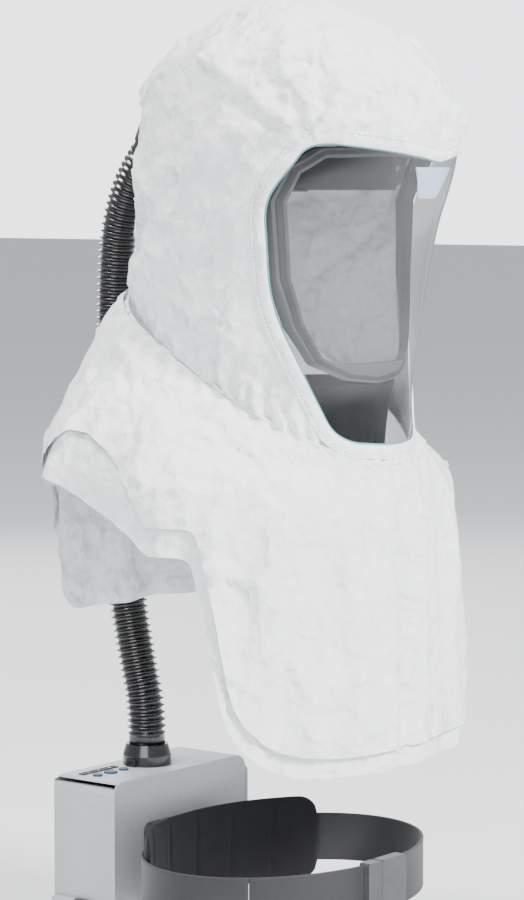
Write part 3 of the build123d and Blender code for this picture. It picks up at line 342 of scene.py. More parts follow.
# the shade colour of the hood film is a painted shade, a greyer copy of its colour
materials["hood_cloth"] = hoodFilm("hood_cloth", {
    "colour": (0.83, 0.845, 0.86), "shade": (0.77, 0.785, 0.79), "fibreColour": (0.88, 0.89, 0.90), "rough": (0.48, 0.62),
    "crease": 24.0, "fibre": 700.0, "relief": 0.55,
    "values": {"Specular IOR Level": 0.35, "Sheen Weight": 0.08}})
materials["dark_textile"] = textile("dark_textile", {
    "dark": (0.003, 0.003, 0.004), "light": (0.010, 0.010, 0.012), "scale": 6200.0, "rough": (0.85, 1.0),
    "values": {"Sheen Weight": 0.08, "Sheen Roughness": 0.5, "Specular IOR Level": 0.25}})
materials["webbing"] = textile("webbing", {
    "dark": (0.004, 0.004, 0.005), "light": (0.016, 0.016, 0.019), "scale": 3800.0, "rough": (0.6, 0.8), "woven": True,
    "values": {"Sheen Weight": 0.15}})
materials["strapWeb"] = textile("strapWeb", {
    "dark": (0.03, 0.031, 0.034), "light": (0.085, 0.088, 0.095), "scale": 3200.0, "rough": (0.6, 0.8), "woven": True,
    "values": {"Sheen Weight": 0.15}})


def clearSheet():
    material, tree, shader, where = newMaterial("visor_clear", {
        "Base Color": (0.97, 0.985, 0.985, 1), "Transmission Weight": 1.0, "IOR": 1.38, "Metallic": 0.0})
    smear = placeGroup(tree, grainGroup, {"Vector": where, "Scale": 14.0, "Low": 0.015, "High": 0.05})
    tree.links.new(smear.outputs["Value"], shader.inputs["Roughness"])
    return material


materials["visor_clear"] = clearSheet()
for name, part in parts.items():
    for holder in part.material_slots:
        holder.material = materials[slotOf[name]]
print("materials made:", len(materials))


def smoothStep(value):
    value = min(max(value, 0.0), 1.0)
    return value * value * (3 - 2 * value)


def curveThrough(knots, rows):
    # smooth curve through rows of numbers, one knot for each row
    last = len(rows) - 1
    slopes = []
    for k in range(last + 1):
        a, b = max(k - 1, 0), min(k + 1, last)
        slopes.append([(q - p) / (knots[b] - knots[a]) for p, q in zip(rows[a], rows[b])])

    def at(t):
        t = min(max(t, knots[0]), knots[-1])
        k = min(bisect.bisect_right(knots, t) - 1, last - 1)
        h = knots[k + 1] - knots[k]
        s = (t - knots[k]) / h
        w = (2 * s**3 - 3 * s**2 + 1, (s**3 - 2 * s**2 + s) * h, 3 * s**2 - 2 * s**3, (s**3 - s**2) * h)
        return [w[0] * a + w[1] * b + w[2] * c + w[3] * d
                for a, b, c, d in zip(rows[k], slopes[k], rows[k + 1], slopes[k + 1])]
    return at


def addPiece(name, points, faces, body, slot, finish=None, uv=None, scale=mm):
    mesh = bpy.data.meshes.new(name)
    mesh.from_pydata([tuple(c * scale for c in p) for p in points], [], faces)
    mesh.validate()
    mesh.materials.append(materials[finish or slot])
    if uv:
        layer = mesh.uv_layers.new(name="stripMap")
        for loop in mesh.loops:
            layer.data[loop.index].uv = uv[loop.vertex_index]
    mesh.shade_smooth()
    piece = linkObject(bpy.data.objects.new(name, mesh))
    if body:
        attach(piece, body)
    return piece


def selectOnly(piece):
    bpy.ops.object.select_all(action="DESELECT")
    piece.select_set(True)
    bpy.context.view_layer.objects.active = piece


def mergeDoubles(piece, distance=0.00004):
    shape = bmesh.new()
    shape.from_mesh(piece.data)
    bmesh.ops.remove_doubles(shape, verts=shape.verts, dist=distance)
    shape.to_mesh(piece.data)
    shape.free()


def recalcOut(piece):
    shape = bmesh.new()
    shape.from_mesh(piece.data)
    bmesh.ops.recalc_face_normals(shape, faces=shape.faces)
    shape.to_mesh(piece.data)
    shape.free()


def tubeFaces(rings, around):
    # skin over a row of rings, with both ends closed
    faces = []
    for k in range(rings - 1):
        for i in range(around):
            j = (i + 1) % around
            faces.append((k * around + i, k * around + j, (k + 1) * around + j, (k + 1) * around + i))
    faces.append(tuple(range(around)))
    faces.append(tuple((rings - 1) * around + i for i in reversed(range(around))))
    return faces


def awayFromMiddle(centre):
    return Vector((centre.x, centre.y, 0))


def thicken(piece, thickness):
    skin = piece.modifiers.new("wall", "SOLIDIFY")
    skin.thickness, skin.offset = thickness, -1.0
    selectOnly(piece)
    bpy.ops.object.modifier_apply(modifier=skin.name)


clothRules = {"quality": 5, "mass": 0.08, "stretch": 25.0, "shear": 12.0}


def settleCloth(piece, held, settings):
    # a little spare cloth and air pressure wrinkle the sheet; held is how firmly each point stays
    group = piece.vertex_groups.new(name="held")
    for index, weight in enumerate(held):
        group.add([index], weight, "REPLACE")
    before = [v.co.copy() for v in piece.data.vertices]
    cloth = piece.modifiers.new("settle", "CLOTH")
    rules = cloth.settings
    rules.quality, rules.mass = clothRules["quality"], clothRules["mass"]
    rules.tension_stiffness = rules.compression_stiffness = clothRules["stretch"]
    rules.shear_stiffness, rules.bending_stiffness = clothRules["shear"], settings["bending"]
    rules.vertex_group_mass, rules.pin_stiffness = "held", settings["hold"]
    rules.shrink_min = rules.shrink_max = -settings["spare"]
    rules.use_pressure, rules.uniform_pressure_force = True, settings["pressure"]
    rules.effector_weights.gravity = settings["gravity"]
    cloth.collision_settings.use_collision = False
    cloth.point_cache.frame_end = settings["frames"]
    for step in range(1, settings["frames"] + 1):
        bpy.context.scene.frame_set(step)
    selectOnly(piece)
    bpy.ops.object.modifier_apply(modifier=cloth.name)
    moved = 0.0
    for vertex, old in zip(piece.data.vertices, before):
        step = vertex.co - old
        if step.length > settings["cap"]:
            vertex.co = old + step.normalized() * settings["cap"]
        moved = max(moved, step.length)
    piece.vertex_groups.clear()
    bpy.context.scene.frame_set(1)
    print("settled", piece.name, "largest move", round(moved * 1000, 1), "mm")


def gridSheet(columns, rows, place, keep=None, closed=True, size=(1000.0, 500.0)):
    # a sheet laid out by u across and v down, cut back to where keep(u, v) is above zero
    across = columns if closed else columns + 1
    spots = [(j / columns, i / rows) for i in range(rows + 1) for j in range(across)]
    faces = []
    for i in range(rows):
        for j in range(columns):
            if keep and keep((j + 0.5) / columns, (i + 0.5) / rows) <= 0:
                continue
            a, b = i * across + j, i * across + (j + 1) % across
            faces.append((a, a + across, b + across, b))
    if keep:
        count = {}
        for face in faces:
            for a, b in zip(face, face[1:] + face[:1]):
                edge = (min(a, b), max(a, b))
                count[edge] = count.get(edge, 0) + 1
        border = {v for edge, number in count.items() if number == 1 for v in edge}
        for index in sorted(border):
            u, v = spots[index]
            if v < 1e-6 or v > 1 - 1e-6:
                continue
            for turn in range(4):
                k = keep(u, v)
                if abs(k) > 60:
                    break
                gu = (keep(u + 0.0005, v) - k) / 0.0005 / size[0]
                gv = (keep(u, v + 0.0005) - k) / 0.0005 / size[1]
                steep = gu * gu + gv * gv
                if steep < 0.01:
                    break
                step = max(-6.0, min(6.0, k)) / steep
                u, v = u - step * gu / size[0], v - step * gv / size[1]
            spots[index] = (u, v)
    used = sorted({v for face in faces for v in face})
    number = {old: new for new, old in enumerate(used)}
    spots = [spots[v] for v in used]
    return [place(u, v) for u, v in spots], [tuple(number[v] for v in face) for face in faces], spots


def polygonDepth(points, x, z):
    # distance inside a closed outline, below zero outside it
    inside, nearest = False, 1e9
    for (ax, az), (bx, bz) in zip(points, points[1:] + points[:1]):
        dx, dz = bx - ax, bz - az
        share = ((x - ax) * dx + (z - az) * dz) / (dx * dx + dz * dz)
        share = min(max(share, 0.0), 1.0)
        nearest = min(nearest, math.hypot(x - ax - share * dx, z - az - share * dz))
        if (az > z) != (bz > z) and x < (bx - ax) * (z - az) / (bz - az) + ax:
            inside = not inside
    return nearest if inside else -nearest


def roundedOutline(corners, steps=6):
    # closed outline with each corner (x, z, radius) drawn as a short curve
    outline = []
    for k, (x, z, radius) in enumerate(corners):
        here = Vector((x, z))
        ends = []
        for other in (corners[k - 1], corners[(k + 1) % len(corners)]):
            leg = Vector(other[:2]) - here
            ends.append(here + leg * min(radius / leg.length, 0.46))
        for s in range(steps + 1):
            t = s / steps
            point = ends[0] * (1 - t) ** 2 + here * 2 * t * (1 - t) + ends[1] * t * t
            outline.append((point.x, point.y))
    return outline


# hood: each level is height, middle in y, half width, half length, from the crown down
hoodShape = {
    "levels": [
        (169.3, 9.0, 0.0, 0.0), (168.0, 9.0, 24.0, 32.3), (160.0, 9.0, 50.0, 64.6), (142.0, 9.0, 75.0, 95.2),
        (113.0, 8.0, 105.3, 139.4), (64.0, -4.0, 124.8, 166.6), (10.0, 2.0, 130.0, 170.0), (-54.0, 12.0, 130.0, 157.1),
        (-123.0, 21.0, 126.1, 152.0), (-200.0, 12.0, 116.0, 130.0), (-275.0, 0.0, 107.9, 117.3), (-305.0, -5.0, 104.0, 112.0)],
    "neckFront": (-118.0, -278.0), "neckBack": (176.0, -108.0),
    "columns": 264, "rows": 112,
    "cells": ((62.0, 10.0, 3.1), (29.0, 5.0, 9.7)),       # cell size, depth, seed
    "fan": {"corner": (56.0, 34.0), "depth": 7.0, "folds": 9.0, "reach": 130.0},
    "gather": {"depth": 4.2, "folds": 46, "reach": 46.0},
    "seamDepth": 1.5, "crownSeam": 102.0, "backSeam": 60.0,
}
hoodSettle = {"spare": 0.022, "pressure": 2.2, "hold": 0.22, "gravity": 0.25, "frames": 18, "cap": 0.009, "bending": 0.5}


def profileKnots(levels, widths):
    knots = [0.0]
    for a, b in zip(levels, levels[1:]):
        knots.append(knots[-1] + math.hypot(b[0] - a[0], sum(b[w] - a[w] for w in widths) / len(widths)))
    return knots


hoodKnots = profileKnots(hoodShape["levels"], (2, 3))
hoodAt = curveThrough(hoodKnots, hoodShape["levels"])
hoodTable = [hoodAt(hoodKnots[-1] * k / 900) for k in range(901)]
hoodHeights = [-row[0] for row in hoodTable]


def hoodSection(z):
    k = min(max(bisect.bisect_left(hoodHeights, -z), 1), 900)
    a, b = hoodTable[k - 1], hoodTable[k]
    s = (z - a[0]) / (b[0] - a[0]) if b[0] != a[0] else 0.0
    return [p + (q - p) * min(max(s, 0.0), 1.0) for p, q in zip(a, b)]


def hoodRing(angle, row):
    return Vector((row[2] * math.sin(angle), row[1] - row[3] * math.cos(angle), row[0]))


def hoodPoint(angle, z):
    return hoodRing(angle, hoodSection(z))


def hoodNormal(angle, z):
    acrossWay = hoodPoint(angle + 0.01, z) - hoodPoint(angle - 0.01, z)
    downWay = hoodPoint(angle, z - 2) - hoodPoint(angle, z + 2)
    return downWay.cross(acrossWay).normalized()


def neckHeight(y):
    (ya, za), (yb, zb) = hoodShape["neckFront"], hoodShape["neckBack"]
    return za + (y - ya) * (zb - za) / (yb - ya)


def findNeckEnds(count=360):
    ends = []
    for j in range(count + 1):
        angle = 2 * math.pi * j / count
        low, high = 0.0, hoodKnots[-1]
        for turn in range(24):
            t = (low + high) / 2
            point = hoodRing(angle, hoodAt(t))
            low, high = (t, high) if point.z > neckHeight(point.y) else (low, t)
        ends.append(low)
    return ends


neckEnds = findNeckEnds()


def neckEnd(u):
    place = (u % 1.0) * 360
    k = min(int(place), 359)
    return neckEnds[k] + (neckEnds[k + 1] - neckEnds[k]) * (place - k)


windowCorners = [
    (0.0, 12.0, 3.0), (108.0, 31.0, 13.0), (120.0, -12.0, 14.0), (121.0, -34.0, 14.0), (111.0, -127.0, 40.0),
    (88.0, -191.0, 30.0), (67.0, -245.0, 12.0), (50.0, -256.0, 10.0), (0.0, -260.0, 20.0)]
windowCorners += [(-x, z, r) for x, z, r in reversed(windowCorners[1:-1])]
windowLine = roundedOutline(windowCorners)
port = {
    "centre": Vector((0.0, 155.0, 62.0)), "axis": Vector((0.0, 0.642788, -0.766044)),
    "hole": 26.8, "flat": 30.5, "spread": 62.0}


def portReach(point):
    away = point - port["centre"]
    along = away.dot(port["axis"])
    return along, (away - port["axis"] * along).length


def ridge(value):
    # folded wave, sharp at the top and the bottom
    return abs((value / math.pi) % 2.0 - 1.0) * 2.0 - 1.0


def facets(point, cells):
    total = 0.0
    for size, depth, seed in cells:
        spot = point / size + Vector((seed, seed * 0.7, seed * 1.3))
        spot += noise.noise_vector(spot * 0.9) * 0.35
        gaps, centres = noise.voronoi(spot)
        tilt = noise.cell_vector(centres[0] * 7.3) - Vector((0.5, 0.5, 0.5))
        total += depth * (0.7 * (gaps[0] - 0.42) + 1.1 * tilt.dot(spot - centres[0]))
    return total


def seamDip(distance, along, depth):
    pucker = 0.9 * math.sin(along / 4.2 + 2.5 * noise.noise(Vector((along / 22, 4, 1))))
    return -depth * math.exp(-(distance / 2.6) ** 2) + pucker * math.exp(-abs(distance) / 9.0)


def windowGap(point):
    return -polygonDepth(windowLine, point.x, point.z) if point.y < -20 else 200.0


def portGap(point):
    along, wide = portReach(point)
    return wide - port["hole"] if point.y > 60 and -90 < along < 130 else 200.0


def hoodSmooth(u, v):
    return hoodRing(2 * math.pi * u, hoodAt(neckEnd(u) * v))


def hoodKeep(u, v):
    point = hoodSmooth(u, v)
    return min(windowGap(point), portGap(point))


def hoodCloth(u, v):
    angle = 2 * math.pi * (u % 1.0)
    point = hoodSmooth(u, v)
    if v < 1e-6:
        return point
    normal = hoodNormal(angle, point.z) if point.z < 167.5 else Vector((0, 0, 1))
    turn = angle if angle < math.pi else angle - 2 * math.pi
    lift = facets(point, hoodShape["cells"])
    fan = hoodShape["fan"]
    for side in (-1, 1):
        across = (turn * side - math.radians(fan["corner"][0])) * 140
        up = point.z - fan["corner"][1]
        far = math.hypot(across, up)
        fade = smoothStep((far - 8) / 25) * (1 - smoothStep((far - 40) / fan["reach"]))
        if across > -70:
            folds = math.atan2(up, across) * fan["folds"] + 1.6 * noise.noise(point / 45)
            lift += fan["depth"] * fade * ridge(folds) * 0.5
    gather = hoodShape["gather"]
    down = (1 - v) * neckEnd(u)
    pleat = math.sin(gather["folds"] * angle + 3 * noise.noise(point / 30))
    lift += gather["depth"] * pleat * math.exp(-(down / gather["reach"] * 2) ** 2) * smoothStep(down / 5)
    lift *= 1 - 0.5 * smoothStep((point.z - 110) / 45)
    edge = min(windowGap(point) / 24, down / 10 + 0.3)
    lift *= smoothStep(edge)
    if point.z > hoodShape["crownSeam"] - 40 or point.y > 20:
        lift += seamDip(point.z - hoodShape["crownSeam"], angle * 130, hoodShape["seamDepth"])
    if 30 < point.z < hoodShape["crownSeam"] + 2 and point.y < 0:
        lift += seamDip(point.x, point.z, hoodShape["seamDepth"])
    if point.z < hoodShape["crownSeam"]:
        lift += seamDip(point.y - hoodShape["backSeam"], point.z, hoodShape["seamDepth"])
    shaped = point + normal * lift
    along, wide = portReach(point)
    if point.y > 0 and wide < port["spread"]:
        share = smoothStep((port["spread"] - wide) / (port["spread"] - port["flat"])) * smoothStep((along + 130) / 60)
        flatPoint = shaped + port["axis"] * (-0.8 - portReach(shaped)[0])
        shaped = shaped.lerp(flatPoint, share)
    return shaped


def meshArea(piece):
    return sum(face.area for face in piece.data.polygons)


points, faces, spots = gridSheet(
    hoodShape["columns"], hoodShape["rows"], hoodCloth, hoodKeep, size=(930.0, 470.0))
hood = addPiece("hoodShell", points, faces, "root", "hood_cloth")
held = []
for u, v in spots:
    point = hoodSmooth(u, v)
    firm = windowGap(point) < 15 or portGap(point) < 9 or (1 - v) * neckEnd(u) < 5 or v < 0.004
    held.append(1.0 if firm else 0.10)
settleCloth(hood, held, hoodSettle)
mergeDoubles(hood)
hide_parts("hood_crown", "hood_back", "hood_side_left", "hood_side_right")
print("hood area", round(meshArea(hood), 3))


def ribbonAlong(path, normals, profile, centre=None, closed=True, onto=None):
    # flat strip on a surface: the profile is (distance outwards, height) and outwards is away from centre
    points, faces = [], []
    count, wide = len(path), len(profile)
    for k in range(count):
        before, after = path[(k - 1) % count], path[(k + 1) % count]
        if not closed:
            before, after = path[max(k - 1, 0)], path[min(k + 1, count - 1)]
        outward = (after - before).normalized().cross(normals[k]).normalized()
        if centre is not None and outward.dot(path[k] - centre) < 0:
            outward = -outward
        for out, height in profile:
            spot = path[k] + outward * out
            points.append(onto(spot, height) if onto else spot + normals[k] * height)
    for k in range(count if closed else count - 1):
        a, b = k * wide, ((k + 1) % count) * wide
        for i in range(wide - 1):
            faces.append((a + i, a + i + 1, b + i + 1, b + i))
    return points, faces


def ontoHood(spot, height):
    row = hoodSection(spot.z)
    angle = math.atan2(spot.x / row[2], (row[1] - spot.y) / row[3])
    return hoodPoint(angle, spot.z) + hoodNormal(angle, spot.z) * height


def evenLoop(outline, step):
    lengths = [math.dist(a, b) for a, b in zip(outline, outline[1:] + outline[:1])]
    total = sum(lengths)
    count = int(total / step)
    spots, k, run = [], 0, 0.0
    for i in range(count):
        want = total * i / count
        while run + lengths[k] < want:
            run += lengths[k]
            k += 1
        share = (want - run) / lengths[k]
        a, b = outline[k], outline[(k + 1) % len(outline)]
        spots.append((a[0] + (b[0] - a[0]) * share, a[1] + (b[1] - a[1]) * share))
    return spots


def frontAngle(x, z):
    return math.asin(max(-1.0, min(1.0, x / hoodSection(z)[2])))


def faceOut(piece, outwards):
    # turns the faces of an open strip so that they look along outwards(centre)
    total = sum(face.normal.dot(outwards(face.center)) * face.area for face in piece.data.polygons)
    if total < 0:
        piece.data.flip_normals()
    return piece


stitchCorners = (
    (-1, -0.7, 0), (-1, 0.7, 0), (-0.5, -1, 1), (-0.5, 1, 1), (0.5, -1, 1), (0.5, 1, 1), (1, -0.7, 0), (1, 0.7, 0))


def stitchRow(name, path, normals, body, length=2.4, width=0.55, height=0.35, every=1, lift=0.0):
    # short raised stitches along a line
    points, faces = [], []
    count = len(path)
    for k in range(0, count, every):
        ahead = (path[(k + 1) % count] - path[k - 1]).normalized()
        up = normals[k]
        side = ahead.cross(up).normalized()
        base = len(points)
        middle = path[k] + up * lift
        for a, s, h in stitchCorners:
            points.append(middle + ahead * a * length / 2 + side * s * width / 2 + up * (h * height - 0.1))
        for face in ((0, 2, 3, 1), (2, 4, 5, 3), (4, 6, 7, 5), (0, 1, 7, 6), (0, 6, 4, 2), (1, 3, 5, 7)):
            faces.append(tuple(base + i for i in face))
    piece = addPiece(name, points, faces, body, "hood_cloth", finish="seam_thread")
    recalcOut(piece)
    return piece


windowHem = {
    "profile": [
        (-0.8, -0.4), (-0.6, 0.9), (0.2, 1.6), (4.5, 1.9), (8.8, 1.7),
        (10.0, 0.9), (11.2, 1.8), (12.6, 1.6), (13.0, 0.9), (13.1, -0.8)],
    "edge": [(-2.2, -1.75), (-1.4, -1.3), (-0.7, -1.75)],
    "pathStep": 3.0, "stitchStep": 4.0, "stitchLine": 10.0,
}
loop = evenLoop(windowLine, windowHem["pathStep"])
angles = [frontAngle(x, z) for x, z in loop]
hemPath = [hoodPoint(a, z) for a, (x, z) in zip(angles, loop)]
hemNormals = [hoodNormal(a, z) for a, (x, z) in zip(angles, loop)]
windowCentre = Vector((0.0, -150.0, -110.0))


def rumpledOnto(spot, height):
    soft = 0.35 * noise.noise(spot / 16) + 0.25 * noise.noise(spot / 6)
    return ontoHood(spot, height + (soft if height > 0 else 0))


points, faces = ribbonAlong(hemPath, hemNormals, windowHem["profile"], windowCentre, onto=rumpledOnto)
hem = faceOut(addPiece("windowHem", points, faces, "root", "hood_cloth"), awayFromMiddle)
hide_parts("visor_hem")
stitchLoop = evenLoop(windowLine, windowHem["stitchStep"])
stitchPath, stitchNormals = [], []
for (x, z), (xa, za) in zip(stitchLoop, stitchLoop[1:] + stitchLoop[:1]):
    here, there = hoodPoint(frontAngle(x, z), z), hoodPoint(frontAngle(xa, za), za)
    normal = hoodNormal(frontAngle(x, z), z)
    outward = (there - here).normalized().cross(normal).normalized()
    outward = outward if outward.dot(here - windowCentre) > 0 else -outward
    stitchPath.append(ontoHood(here + outward * windowHem["stitchLine"], 0.75))
    stitchNormals.append(normal)
hemStitches = stitchRow("hemStitches", stitchPath, stitchNormals, "root", height=0.55, width=0.8)
points, faces = ribbonAlong(hemPath, hemNormals, windowHem["edge"], windowCentre, onto=ontoHood)
faceOut(addPiece("visorEdge", points, faces, "root", "visor_clear", finish="visor_edge"), awayFromMiddle)
print("window hem sewn")


# clear visor: its side edge as (x, z) from the chin to the brow
visorSheet = {
    "side": [(50.0, -256.0), (67.0, -245.0), (88.0, -191.0), (111.0, -127.0), (121.0, -34.0), (120.0, -12.0), (110.0, 29.0)],
    "lap": 0.066, "lapUp": 9.0, "inset": 1.9, "thickness": 1.0, "columns": 72, "rows": 84,
}
sideKnots = [0.0]
for a, b in zip(visorSheet["side"], visorSheet["side"][1:]):
    sideKnots.append(sideKnots[-1] + math.dist(a, b))
sideAt = curveThrough(sideKnots, visorSheet["side"])


def visorPoint(u, v):
    x, z = sideAt(sideKnots[-1] * v)
    across = u * 2 - 1
    far = abs(across)
    z += smoothStep((v - 0.7) / 0.3) * (19.0 * far - 19.0 + visorSheet["lapUp"])
    z -= smoothStep((0.25 - v) / 0.25) * (4.0 * (1 - far) + visorSheet["lapUp"])
    edge = math.asin(min(0.99, x / hoodSection(z)[2])) + visorSheet["lap"]
    angle = across * edge
    return hoodPoint(angle, z) - hoodNormal(angle, z) * visorSheet["inset"]


points, faces, spots = gridSheet(visorSheet["columns"], visorSheet["rows"], visorPoint, closed=False)
visor = addPiece("visorSheet", points, faces, "root", "visor_clear")
faceOut(visor, awayFromMiddle)
thicken(visor, visorSheet["thickness"] * mm)
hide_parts("visor")

browTab = {"top": 29.0, "bottom": 15.0, "high": 6.0, "low": -24.0, "columns": 16, "rows": 14, "thickness": 0.6, "inset": 1.2}


def tabPoint(u, v):
    z = browTab["low"] + (browTab["high"] - browTab["low"]) * v
    half = browTab["bottom"] + (browTab["top"] - browTab["bottom"]) * v
    corner = 3.5
    rise = z - browTab["low"]
    if rise < corner:
        half -= corner - math.sqrt(corner**2 - (corner - rise) ** 2)
    angle = frontAngle((u * 2 - 1) * half, z)
    return hoodPoint(angle, z) - hoodNormal(angle, z) * browTab["inset"]


points, faces, spots = gridSheet(browTab["columns"], browTab["rows"], tabPoint, closed=False)
tab = faceOut(addPiece("browTab", points, faces, "root", "tab_film"), lambda c: Vector((0, -1, 0)))
thicken(tab, browTab["thickness"] * mm)
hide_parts("visor_tab")
print("visor and tab made")


# bib: each level is chest y and z, back y and z, half width, back corner radius
bibShape = {
    "levels": [
        (-118.0, -278.0, 176.0, -108.0, 117.7, 105.0), (-124.0, -288.0, 185.0, -165.0, 164.3, 100.0),
        (-127.0, -312.0, 184.0, -245.0, 210.9, 50.0), (-129.0, -335.0, 180.0, -335.0, 222.0, 50.0),
        (-133.0, -440.0, 170.0, -440.0, 222.0, 55.0), (-136.0, -600.0, 160.0, -600.0, 217.6, 60.0)],
    "knots": [0.0, 55.0, 118.0, 175.0, 280.0, 440.0],
    "columns": 236, "rows": 96, "splitY": 10.0, "backLobeY": 120.0,
    "folds": (8.0, 4.5), "gather": (4.2, 46, 44.0), "cells": ((66.0, 7.0, 5.3), (30.0, 3.6, 1.9)),
}
bibLayers = {
    "bibOuterLayer": {
        "inset": 0.0, "front": -545.0, "back": -365.0, "shoulder": -325.0,
        "node": "bib_outer", "flat": (1.20, 0.42), "area": 0.32,
        "arch": ((-60, 0), (10, 0), (24, 24), (45, 46), (75, 68), (100, 81), (125, 84), (150, 62), (190, 40))},
    "bibInnerLayer": {
        "inset": 5.5, "front": -565.0, "back": -425.0, "shoulder": -352.0,
        "node": "bib_inner", "flat": (1.18, 0.44), "area": 0.36,
        "arch": ((-60, 0), (10, 0), (28, 16), (58, 31), (106, 51), (124, 59), (146, 67), (170, 60), (195, 32))},
}
bibSettle = {"spare": 0.018, "pressure": 0.6, "hold": 0.16, "gravity": 0.5, "frames": 16, "cap": 0.006, "bending": 0.5}
bibAt = curveThrough(bibShape["knots"], bibShape["levels"])


def bibPoint(u, v, inset=0.0):
    yf, zf, yb, zb, half, corner = bibAt(bibShape["knots"][-1] * v)
    long = math.hypot(yb - yf, zb - zf) / 2 - inset
    half, corner = half - inset, corner - inset
    turn = (u % 1.0) * 2
    side = 1 if turn < 1 else -1
    turn = turn if turn < 1 else 2 - turn
    if turn < 0.5:
        x, q = half * math.sin(turn * math.pi), -long * math.cos(turn * math.pi)
    else:
        corner = min(corner, half - 2, long - 2)
        straight, bend, flat = long - corner, corner * math.pi / 2, half - corner
        run = (turn - 0.5) * 2 * (straight + bend + flat)
        if run < straight:
            x, q = half, run
        elif run < straight + bend:
            a = (run - straight) / corner
            x, q = half - corner + corner * math.cos(a), straight + corner * math.sin(a)
        else:
            x, q = half - corner - (run - straight - bend), long
    way = Vector((0, yb - yf, zb - zf)).normalized()
    return Vector((x * side, (yf + yb) / 2, (zf + zb) / 2)) + way * q


def lobeLine(shoulder, bottom, wide, corner):
    right = [(wide, shoulder, 9.0), (wide - 20.0, bottom, corner)]
    left = [(-x, z, r) for x, z, r in reversed(right)]
    ends = [(260.0, 0.0, 1.0), (260.0, shoulder, 1.0)], [(-260.0, shoulder, 1.0), (-260.0, 0.0, 1.0)]
    return roundedOutline(ends[0] + right + left + ends[1])


def bibNormal(u, v, inset):
    acrossWay = bibPoint(u + 0.003, v, inset) - bibPoint(u - 0.003, v, inset)
    downWay = bibPoint(u, min(v + 0.01, 1.0), inset) - bibPoint(u, max(v - 0.01, 0.0), inset)
    return downWay.cross(acrossWay).normalized()


def bibCloth(u, v, inset):
    point = bibPoint(u, v, inset)
    angle = 2 * math.pi * u
    drop = v * bibShape["knots"][-1]
    spin = Vector((math.sin(angle), math.cos(angle), 0))
    large, small = bibShape["folds"]
    lift = large * noise.noise(spin * 2.1 + Vector((7, 3, drop / 420))) * smoothStep(drop / 160)
    lift += small * ridge(6 * noise.noise(spin * 2.6 + Vector((1, 8, drop / 260)))) * smoothStep(drop / 120)
    depth, folds, far = bibShape["gather"]
    pleat = math.sin(folds * angle + 3 * noise.noise(point / 30))
    lift += depth * pleat * math.exp(-(drop / far * 2) ** 2) * smoothStep(drop / 8)
    lift += facets(bibPoint(u, v), bibShape["cells"]) * smoothStep(drop / 30)
    return point + bibNormal(u, v, inset) * lift


for name, layer in bibLayers.items():
    frontLine = lobeLine(layer["shoulder"], layer["front"], 204.0, 75.0)
    backLine = roundedOutline([
        (172.0, 0.0, 1.0), (160.0, layer["back"], 36.0), (-160.0, layer["back"], 36.0), (-172.0, 0.0, 1.0)])
    archLine = [(y, layer["shoulder"] + rise) for y, rise in layer["arch"]]
    archLine += [(400.0, archLine[-1][1]), (400.0, 0.0), (-60.0, 0.0)]

    def bibKeep(u, v):
        point = bibPoint(u, v, layer["inset"])
        if point.y < bibShape["splitY"]:
            return polygonDepth(frontLine, point.x, point.z)
        lobe = min(polygonDepth(backLine, point.x, point.z), point.y - bibShape["backLobeY"])
        return max(polygonDepth(archLine, point.y, point.z), lobe)

    points, faces, spots = gridSheet(
        bibShape["columns"], bibShape["rows"], lambda u, v: bibCloth(u, v, layer["inset"]), bibKeep, size=(1150.0, 440.0))
    piece = addPiece(name, points, faces, "root", "hood_cloth")
    settleCloth(piece, [1.0 if v < 0.03 else 0.12 for u, v in spots], bibSettle)
    mergeDoubles(piece)
    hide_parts(layer["node"])
    print(name, "area", round(meshArea(piece), 3))

# binding over the gathered neck seam
neckBinding = {
    "profile": [(-3.4, -0.6), (-2.8, 0.5), (-0.5, 0.9), (0.0, 0.3), (0.5, 0.9), (2.8, 0.5), (3.4, -0.6)], "count": 320}
neckPath, neckNormals = [], []
for k in range(neckBinding["count"]):
    u = k / neckBinding["count"]
    base = hoodSmooth(u, 1.0)
    normal = hoodNormal(2 * math.pi * u, base.z)
    neckPath.append(base + normal * (0.5 * math.sin(52 * 2 * math.pi * u)))
    neckNormals.append(normal)
points, faces = ribbonAlong(neckPath, neckNormals, neckBinding["profile"])
binding = faceOut(addPiece("neckBinding", points, faces, "root", "hood_cloth"), awayFromMiddle)

for name, layer in bibLayers.items():
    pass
print("bib hung")


# neck seal: soft skirt, gathered on its lower elastic
neckSkirt = {
    "top": (-200.4, 96.0, 79.0, -15.0), "bottom": (-290.0, 74.0, 69.0, -18.0),
    "columns": 160, "rows": 36, "folds": 38, "thickness": 0.9}


def skirtPoint(u, v):
    za, wa, la, ya = neckSkirt["top"]
    zb, wb, lb, yb = neckSkirt["bottom"]
    angle = 2 * math.pi * u
    wander = 2 * noise.noise(Vector((u * 9, v, 2)))
    pleat = 1.5 * math.sin(neckSkirt["folds"] * angle + wander) * smoothStep((v - 0.15) / 0.7)
    sag = 3.0 * math.sin(math.pi * v)
    half = wa + (wb - wa) * v - 1.0 + pleat - sag
    long = la + (lb - la) * v - 1.0 + pleat - sag
    return Vector((half * math.sin(angle), ya + (yb - ya) * v - long * math.cos(angle), za + (zb - za) * v))


points, faces, spots = gridSheet(neckSkirt["columns"], neckSkirt["rows"], skirtPoint)
skirt = addPiece("neckSkirt", points, faces, "root", slotOf["neck_seal"], finish="dark_textile")
thicken(skirt, neckSkirt["thickness"] * mm)
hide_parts("neck_seal")


def ellipseArc(half, long, middle, start, end, count):
    # points and outward normals along an upright ellipse, by angle from the front
    path, normals = [], []
    for k in range(count + 1):
        a = math.radians(start + (end - start) * k / count)
        path.append(Vector((half * math.sin(a), middle - long * math.cos(a), 0)))
        normals.append(Vector((math.sin(a) / half, -math.cos(a) / long, 0)).normalized())
    return path, normals


